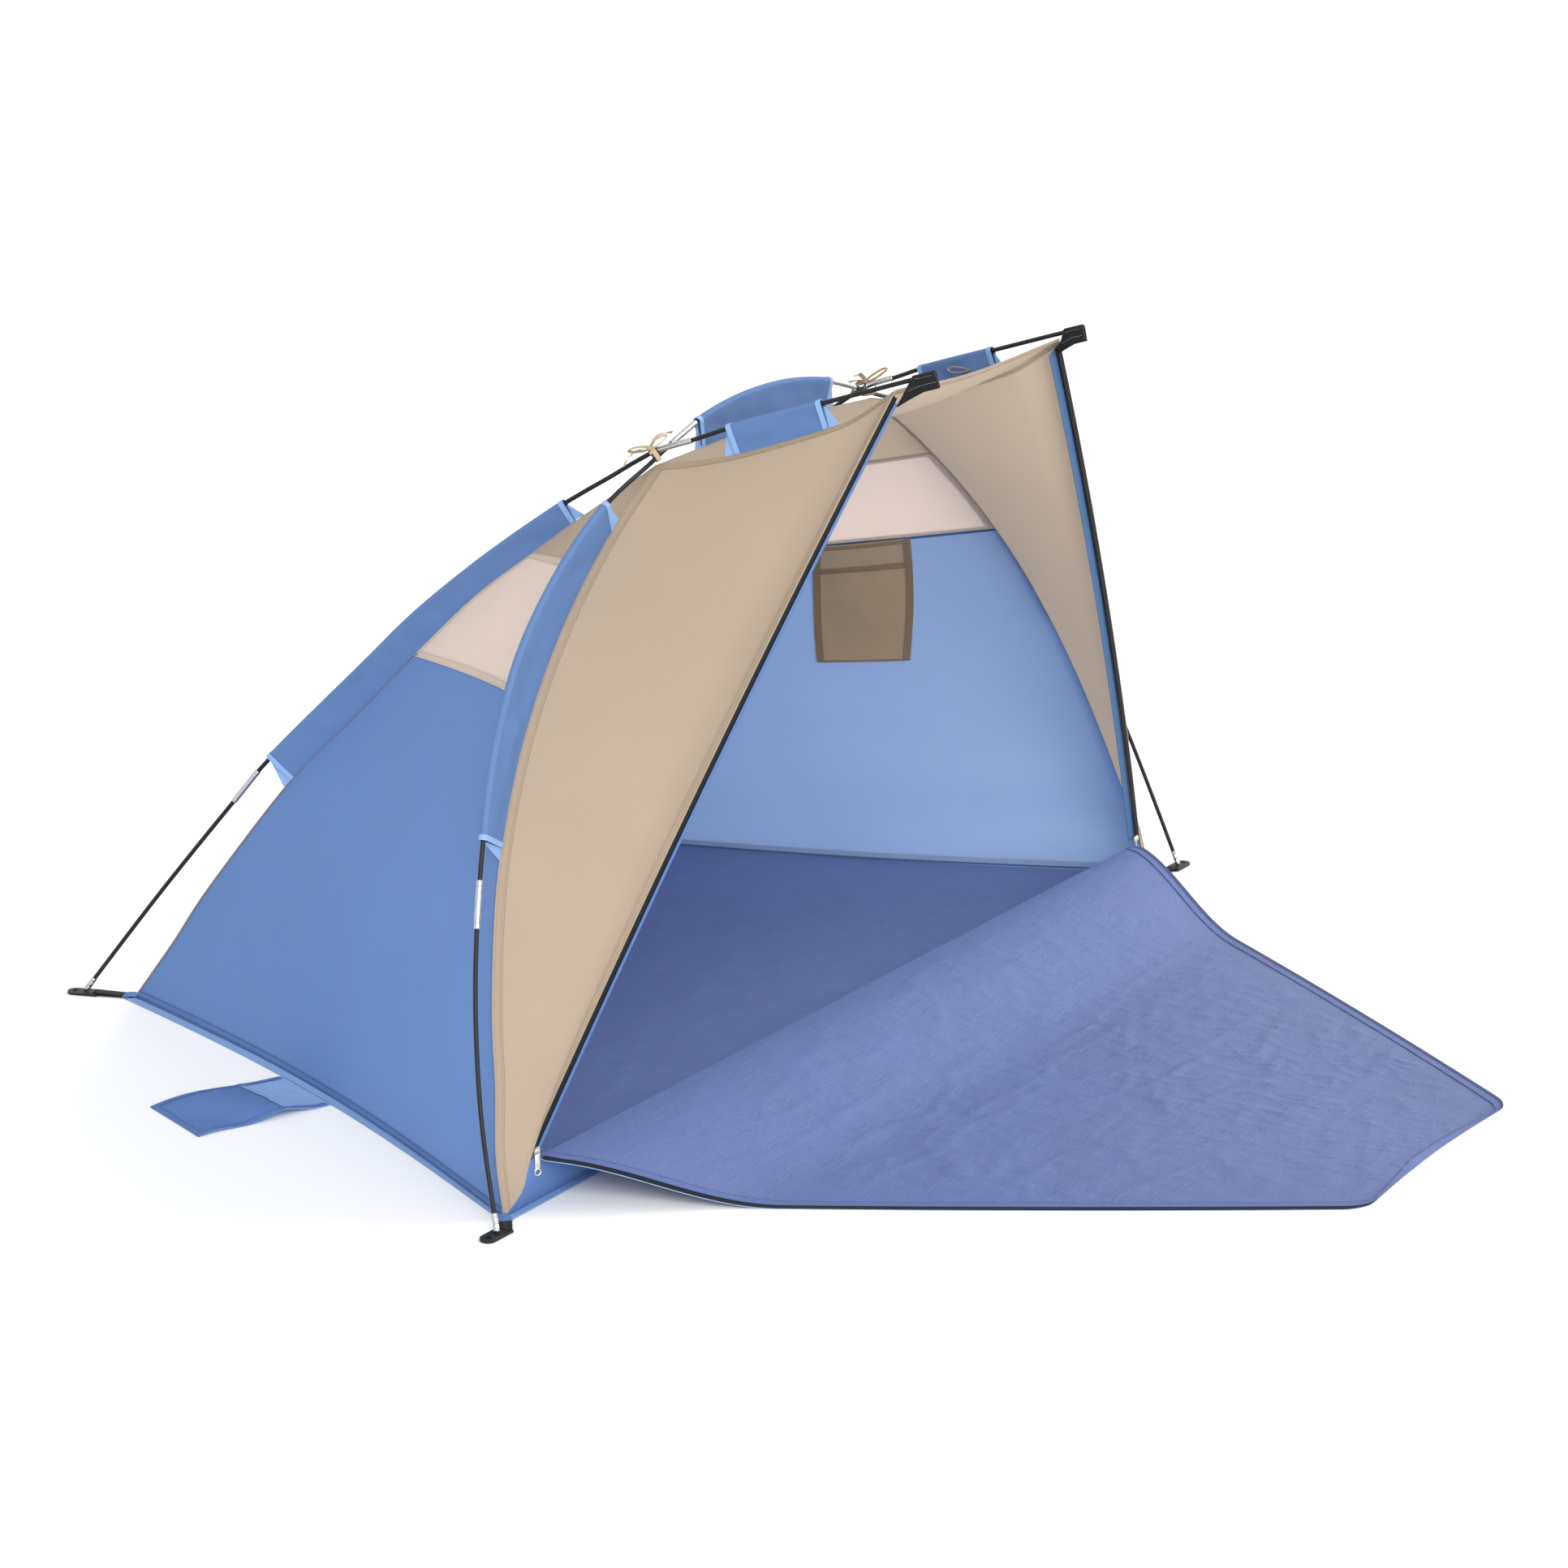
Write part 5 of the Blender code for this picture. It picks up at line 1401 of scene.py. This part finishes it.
def makePeakPocket(name, side):
    line = rearPole[name]
    length = reach(line)[-1]
    sewn = onSide(peak - doorUp * pocket["drop"] + doorFront * pocket["seat"], side)
    tip = length + pocket["overhang"]
    marks = [*np.linspace(length - pocket["length"], tip, pocket["rings"])[:-1], tip - pocket["endRound"], tip]
    radius = poles["rodRadius"] + pocket["clearance"] + pocket["wall"]
    alongEnd = unit(atDistance(line, length) - atDistance(line, length - nearby))
    turns, rise = np.pi * shares(pocket["archSteps"])[:, None], shares(pocket["sideSteps"])[:, None]
    rings = []
    for index, mark in enumerate(marks):
        held = min(mark, length)
        over = atDistance(line, held) + alongEnd * max(mark - length, 0)
        along = unit(atDistance(line, held) - atDistance(line, held - nearby))
        base = over - unit(upward - along * along[2]) * pocket["drop"]
        ease = max(0.0, 1 - index / pocket["easeRings"])
        base = base * (1 - ease) + sewn * ease
        size = radius * (pocket["endSize"] if index == len(marks) - 1 else 1)
        rings.append(foldRing(over, along, base, size, pocket["half"], turns, rise))
    rings = np.array(rings)
    made = tubeObject("peak_pocket_" + name + "_webbing", rings)
    dressed(made, finishes["webbing"], "tent", ["peak_pocket_" + name])
    for column in pocket["stitchColumns"]:
        for flip in (column, rings.shape[1] - 2 - column):
            run = rings[1:-2, flip]
            normals = unit(run - rings[1:-2].mean(1))
            stitched(run + normals * pocket["threadLift"], normals, ("tent", "threadPale"))


tie = {
    "width": 0.0070,
    "thickness": 0.0009,
    "knot": 0.0080,
    "knotShape": (0.50, 0.34),  # its reach along and up, in knots
    "knotSteps": 20,
    "knotTape": (1.1, 1.5),
    "bandHalf": 0.0125,
    "clearance": 0.0008,
    "loopLength": 0.042,
    "loopHalf": 0.0080,
    "loopSteps": 28,
    "loopTwist": 0.25,
    "tailLength": 0.050,
    "tailSteps": 18,
    "tailDroop": 0.004,
    "tailTwist": (0.5, 4),  # how far and how often
}


def makeTie(name, side):
    high = onSide(crossing, side)
    for _ in range(8):  # closes in on the two poles' nearest points
        low, lowWay = nearestOn(hoopPole, high)
        high, highWay = nearestOn(rearPole[name], low)
    up = unit(high - low)
    along = unit(highWay - up * (highWay @ up))
    across = unit(lowWay - up * (lowWay @ up)) * side
    planeWay = unit(along + across)
    widthWay = unit(np.cross(up, planeWay))
    clear = tie["clearance"] + tie["thickness"] / 2
    bottom = low - up * (poles["rodRadius"] + clear)
    top = high + up * (poles["ferruleRadius"] + clear)
    corner = tie["bandHalf"] / 3
    path = []
    for way, middle, rise in ((1, top, -1), (1, bottom, 1), (-1, bottom, 1), (-1, top, -1)):
        flat = middle + planeWay * (way * (tie["bandHalf"] - corner))
        upright = middle + up * (rise * corner) + planeWay * (way * tie["bandHalf"])
        path += [flat, upright] if way * rise < 0 else [upright, flat]
    loop = smoothCurve(path + [path[0]], 4)[:-1]
    band = ribbonObject("tie_band_" + name, loop, widthWay, tie["width"], tie["thickness"], True)
    dressed(band, finishes["tie"], "tent", ["tie_bow_" + name])
    seat = top + up * (tie["knot"] / 4)
    # The knot is a short wrap of the same tape.
    turns = circle(tie["knotSteps"])
    reachAlong, reachUp = (tie["knot"] * share for share in tie["knotShape"])
    wrap = seat + planeWay * np.cos(turns) * reachAlong + up * np.sin(turns) * reachUp
    wide, thick = tie["width"], tie["thickness"]
    wider, thicker = tie["knotTape"]
    knot = ribbonObject("tie_knot_" + name, wrap, widthWay, wide * wider, thick * thicker, True)
    dressed(knot, finishes["tie"])
    steps = circle(tie["loopSteps"])
    share = shares(tie["tailSteps"])[:, None]
    bow = (1 - np.cos(steps)) / 2
    far, often = tie["tailTwist"]
    for tag, way in (("_a", -1), ("_b", 1)):
        away = unit(along * way + planeWay * way / 2)
        curl = seat + up * (tie["loopHalf"] * (np.sin(steps) / 2 + bow)) + away * (tie["loopLength"] * bow)
        twist = unit(widthWay * (np.sin(steps) * tie["loopTwist"]) + np.cross(up, away))
        dressed(ribbonObject("tie_loop_" + name + tag, curl, twist, wide, thick, True), finishes["tie"])
        spread = unit(widthWay * way - planeWay / 2)
        rise = tie["loopHalf"] * np.sin(np.pi * share) - tie["tailDroop"] * share
        tail = seat + spread * (tie["tailLength"] * share) + up * rise
        twist = unit(np.cross(up, spread) + up * (far * np.sin(share * often)))
        dressed(ribbonObject("tie_tail_" + name + tag, tail, twist, wide, thick), finishes["tie"])


# Flaps and the storage pocket
flap = {
    "length": 0.225,
    "width": 0.150,
    "share": 0.535,
    "gap": 0.0006,
    "rows": 96,
    "seamRow": 30,
    "columns": 64,
    "wave": 0.0110,
    "sway": 0.0060,
    "swayTurns": 0.9,
    "swayFrom": 0.3,
    "gather": {"size": 0.020, "height": 0.0022, "share": 0.30, "spread": 0.10},
    "ripple": {"size": 0.045, "height": 0.0022, "edgeSharpness": 4},
    "innerHem": (0.08, 1),
    "hemWidth": 0.011,
    "hemStitches": (0.0015, 0.0095),
    "hemLine": (0.0105,),
    "seam": (-0.001, 0, 0.007, 0.008),
    "seamStitches": (0.0015, 0.006),
    "seamLine": (0.0085,),
}


def flapGrid(side):
    edge = floorEdge(side)
    middle = (1 - flap["share"]) * reach(edge)[-1]
    rear, front = atDistance(edge, middle - flap["width"] / 2), atDistance(edge, middle + flap["width"] / 2)
    out = unit(np.cross(upward, front - rear)) * side
    along = np.cross(upward, out)
    root = (rear + front) / 2 + out * flap["gap"]
    v, u = shares(flap["rows"])[:, None], (2 * shares(flap["columns"]) - 1)[None]
    wave = flap["wave"] * np.sin(np.pi * v) * (1 - np.cos(math.tau * v * (1 + u / 2))) / 2
    sway = flap["sway"] * np.sin(math.tau * v * flap["swayTurns"]) * np.maximum(v - flap["swayFrom"], 0)
    grid = (root + out * (flap["length"] * v)[..., None] + along * (u * flap["width"] / 2 + sway)[..., None]
            + upward * (tent["clothThickness"] / 2 + wave)[..., None])
    # Gathers stand up along the seam between the two halves of the cloth.
    gather, slack = flap["gather"], flap["ripple"]
    nearSeam = np.exp(-((v - gather["share"]) / gather["spread"]) ** 2)
    inside = heldEdges(grid, slack["edgeSharpness"])
    lift = (np.maximum(0, ripple(grid, gather["size"], seeds["flapSeam"] + side)) * gather["height"] * nearSeam
            + np.maximum(0, ripple(grid, slack["size"], seeds["flap"] + side)) * slack["height"] * inside)
    return grid + upward * lift[..., None]


def makeFlap(name, side):
    grid = flapGrid(side)
    inner, outer = grid[:flap["seamRow"] + 1], grid[flap["seamRow"]:]
    body, above = "flap_" + name, (0, 0, -9)
    shade = (body, "threadBlue")
    node = "sand_flap_" + name
    sheetPiece(node + "_cloth", outer, "blue", node, body)
    clothPiece("sand_flap_root_" + name, inner, "hemBlue", body)
    hemmed = [(part, edge, tag + "_" + edge, run) for edge in ("left", "right")
              for part, tag, run in ((outer, "outer", (0, 1)), (inner, "inner", flap["innerHem"]))]
    for part, edge, tag, run in hemmed + [(outer, "high", "end", (0, 1))]:
        bandPiece("sand_flap_hem_" + tag + "_" + name, part, edge, hemSpans(flap["hemWidth"]), hems["lift"],
                  "blue", body, run, above)
        stitchBand(part, edge, flap["hemStitches"], hems["threadLift"], shade, run, above)
        seamLines("sand_flap_line_" + tag + "_" + name, part, edge, flap["hemLine"], hems["lineLift"],
                  "seamBlue", body, above, run)
    seamLines("sand_flap_line_seam_" + name, outer, "low", flap["seamLine"], hems["lineLift"], "seamBlue",
              body, above)
    bandPiece("sand_flap_seam_" + name, outer, "low", flap["seam"], hems["lift"], "hemBlue", body, centre=above)
    stitchBand(outer, "low", flap["seamStitches"], hems["threadLift"], shade, centre=above)


storage = {
    "rows": 60,
    "columns": 70,
    "wallRows": 37,
    "wallColumns": 98,
    "bottom": 0.60,
    "low": (0.447, 0.653),
    "high": (0.389, 0.713),
    "standoff": 0.0016,
    "bulge": 0.0090,
    "slackSize": 0.06,
    "slack": 0.0022,
    "edgeSharpness": 3,
    "inward": 0.001,  # the most that slack may bring it nearer to the wall
    "hemWidths": {"high": 0.008, "left": 0.012, "right": 0.012, "low": 0.003},
    "hemLift": 0.0026,
    "hemStitch": 0.0025,
    "threadLift": 0.0031,
    "lineLift": 0.0030,
    "mouth": 0.80,
    "pouchGap": 0.0016,
    "mouthWidth": 0.012,
    "mouthLift": 0.0009,
    "mouthStitches": (0.0015, 0.0100),
    "mouthLines": (0.0005, 0.0120),
    "mouthThreadLift": 0.0014,
}


def makeStorage():
    rows, columns = storage["rows"], storage["columns"]
    levels = wallGrid(np.linspace(0, tent["wallRows"][1], storage["wallRows"]), storage["wallColumns"], 1)
    grid = np.zeros((rows + 1, columns + 1, 3))
    for row, v in enumerate(shares(rows)):
        rear, front = (low + (high - low) * v for low, high in zip(storage["low"], storage["high"]))
        height = storage["bottom"] + (1 - storage["bottom"]) * v
        for column, u in enumerate(shares(columns)):
            upright = np.array([atShare(level, rear + (front - rear) * u) for level in levels])
            bulge = storage["bulge"] * math.sin(math.pi * u) * math.sin(math.pi / 2 * v)
            grid[row, column] = atShare(upright, height) - rightward * (storage["standoff"] + bulge)
    slack = ripple(grid, storage["slackSize"], seeds["storage"]) * storage["slack"]
    slack = slack * heldEdges(grid, storage["edgeSharpness"])
    grid = grid - rightward * np.maximum(slack, -storage["inward"])[..., None]
    sheetPiece("storage_pocket_cloth", grid, "mesh", "storage_pocket")
    inside, shade = (9, 0, 0.3), ("tent", "threadBrown")
    for edge, width in storage["hemWidths"].items():
        bandPiece("storage_hem_" + edge, grid, edge, hemSpans(width), storage["hemLift"], "meshHem",
                  centre=inside)
        stitchBand(grid, edge, (width - storage["hemStitch"],), storage["threadLift"], shade, centre=inside)
        seamLines("storage_line_" + edge, grid, edge, (width,), storage["lineLift"], "seamBrown", centre=inside)
    # The pouch is a second layer below its mouth, with a hem along it.
    pouch = grid[:round(rows * storage["mouth"]) + 1] - rightward * storage["pouchGap"]
    clothPiece("storage_pouch", pouch, "mesh")
    bandPiece("storage_mouth_hem", pouch, "high", hemSpans(storage["mouthWidth"]), storage["mouthLift"],
              "meshHem", centre=inside)
    stitchBand(pouch, "high", storage["mouthStitches"], storage["mouthThreadLift"], shade, centre=inside)
    seamLines("storage_mouth_line", pouch, "high", storage["mouthLines"], storage["mouthThreadLift"],
              "seamBrown", centre=inside)


sleeveLoop = {
    "fromTip": 0.250,
    "standoff": 0.0050,
    "drop": 0.017,
    "length": 0.022,
    "height": 0.0060,
    "slope": 0.004,
    "steps": 32,
    "lean": 0.4,
    "width": 0.0050,
    "thickness": 0.0009,
}


def makeLoop():
    # A small loop of tape lies on the side of the right roof sleeve.
    line = rearPole["right"]
    mark = reach(line)[-1] - sleeveLoop["fromTip"]
    along = wayAlong(line, mark)
    away = unit(np.cross(along, upward))
    away = away if away[0] < 0 else -away
    up = unit(np.cross(away, along))
    up = up if up[2] > 0 else -up
    aside = poles["rodRadius"] + sleeves["clearance"] + sleeveLoop["standoff"]
    middle = atDistance(line, mark) + away * aside - up * sleeveLoop["drop"]
    turns = circle(sleeveLoop["steps"])
    rise = sleeveLoop["height"] * np.sin(turns) * np.sin(turns / 2) - sleeveLoop["slope"] * np.cos(turns)
    path = middle + along * (sleeveLoop["length"] * np.cos(turns)) + up * rise
    widthWay = unit(away + up * sleeveLoop["lean"])
    tape = ribbonObject("sleeve_loop", path, widthWay, sleeveLoop["width"], sleeveLoop["thickness"], True)
    dressed(tape, finishes["tie"])


# Everything, stage by stage
for name, side in sideWays.items():
    makeWall(name, side)
for name, side in sideWays.items():
    makeFront(name, side)
makeBack()
makeRoof()
print("walls and roof made")
makeFloor()
makeDoor()
makeSill()
for name, side in sideWays.items():
    makeZip(name, side)
print("floor, door and zips made")
makePoles()
makeSleeves()
print("poles and sleeves made")
for name, side in sideWays.items():
    makeStrap("rear_" + name, rearPole[name], onSide(rearCorner, side))
    makePeakPocket(name, side)
    makeTie(name, side)
    makeFlap(name, side)
makeStrap("front_left", hoopPole, onSide(frontCorner, -1), -rightward)
makeStrap("front_right", hoopPole[::-1], frontCorner, rightward)
makeStorage()
makeLoop()
dressMetal()
for name, side in sideWays.items():
    makeFastening(name, side)
makeStitches(finishes)
print("webbing, ties, flaps and stitches made")

# Stage, light and camera
stage = {
    "floorSize": 60.0,
    "floorColour": (0.93, 0.93, 0.93, 1),
    "worldStrength": 0.72,
    "floorHeight": -0.0006,
    "suns": (  # name, where it shines from, strength, and its angle across in radians
        ("key", (-0.62, -0.55, 0.60), 1.5, 0.6), ("fill", (-0.42, -0.88, 0.22), 1.5, 0.9),
        ("side", (0.85, -0.30, 0.42), 2.2, 0.9)),
}
view = {
    "place": (-5.304, -3.8755, 2.295),
    "turn": (73.2, 0, -56.6),
    "lens": 96.2,
    "sensorWidth": 36.0,
    "clipEnd": 200.0,
}
deselect()
bpy.ops.mesh.primitive_plane_add(size=stage["floorSize"], location=(0, 0, stage["floorHeight"]))
studio = bpy.context.object
studio.name = "studio_floor"
floorFinish = Finish("studio_floor", 0.95)
floorFinish.shader.inputs["Base Color"].default_value = stage["floorColour"]
floorFinish.shader.inputs["Specular IOR Level"].default_value = 0.0
studio.data.materials.append(floorFinish.material)

scene = bpy.context.scene
world = bpy.data.worlds.new("studio")
world.use_nodes = True
scene.world = world
worldNodes, worldLinks = world.node_tree.nodes, world.node_tree.links
plain = worldNodes["Background"]
plain.inputs["Color"].default_value = (1.0, 1.0, 1.0, 1)
plain.inputs["Strength"].default_value = stage["worldStrength"]
white = worldNodes.new("ShaderNodeBackground")
white.inputs["Color"].default_value = (1, 1, 1, 1)
white.inputs["Strength"].default_value = 1.0
# The background is plain white to the camera, and gives a softer light to the tent.
rays = worldNodes.new("ShaderNodeLightPath")
seen = rays.outputs["Is Camera Ray"]
for kind in ("Is Glossy Ray", "Is Transmission Ray"):
    larger = worldNodes.new("ShaderNodeMath")
    larger.operation = "MAXIMUM"
    worldLinks.new(seen, larger.inputs[0])
    worldLinks.new(rays.outputs[kind], larger.inputs[1])
    seen = larger.outputs[0]
either = worldNodes.new("ShaderNodeMixShader")
worldLinks.new(seen, either.inputs[0])
worldLinks.new(plain.outputs[0], either.inputs[1])
worldLinks.new(white.outputs[0], either.inputs[2])
worldLinks.new(either.outputs[0], worldNodes["World Output"].inputs["Surface"])

for name, source, strength, angle in stage["suns"]:
    deselect()
    bpy.ops.object.light_add(type="SUN", rotation=Vector(source).to_track_quat("Z", "Y").to_euler())
    lamp = bpy.context.object
    lamp.name = name + "_light"
    lamp.data.energy, lamp.data.angle = strength, angle

deselect()
bpy.ops.object.camera_add(location=view["place"], rotation=[math.radians(turn) for turn in view["turn"]])
camera = bpy.context.object
camera.data.lens, camera.data.sensor_width = view["lens"], view["sensorWidth"]
camera.data.clip_end = view["clipEnd"]
scene.camera = camera
scene.view_settings.view_transform = "Standard"
print("stage made")
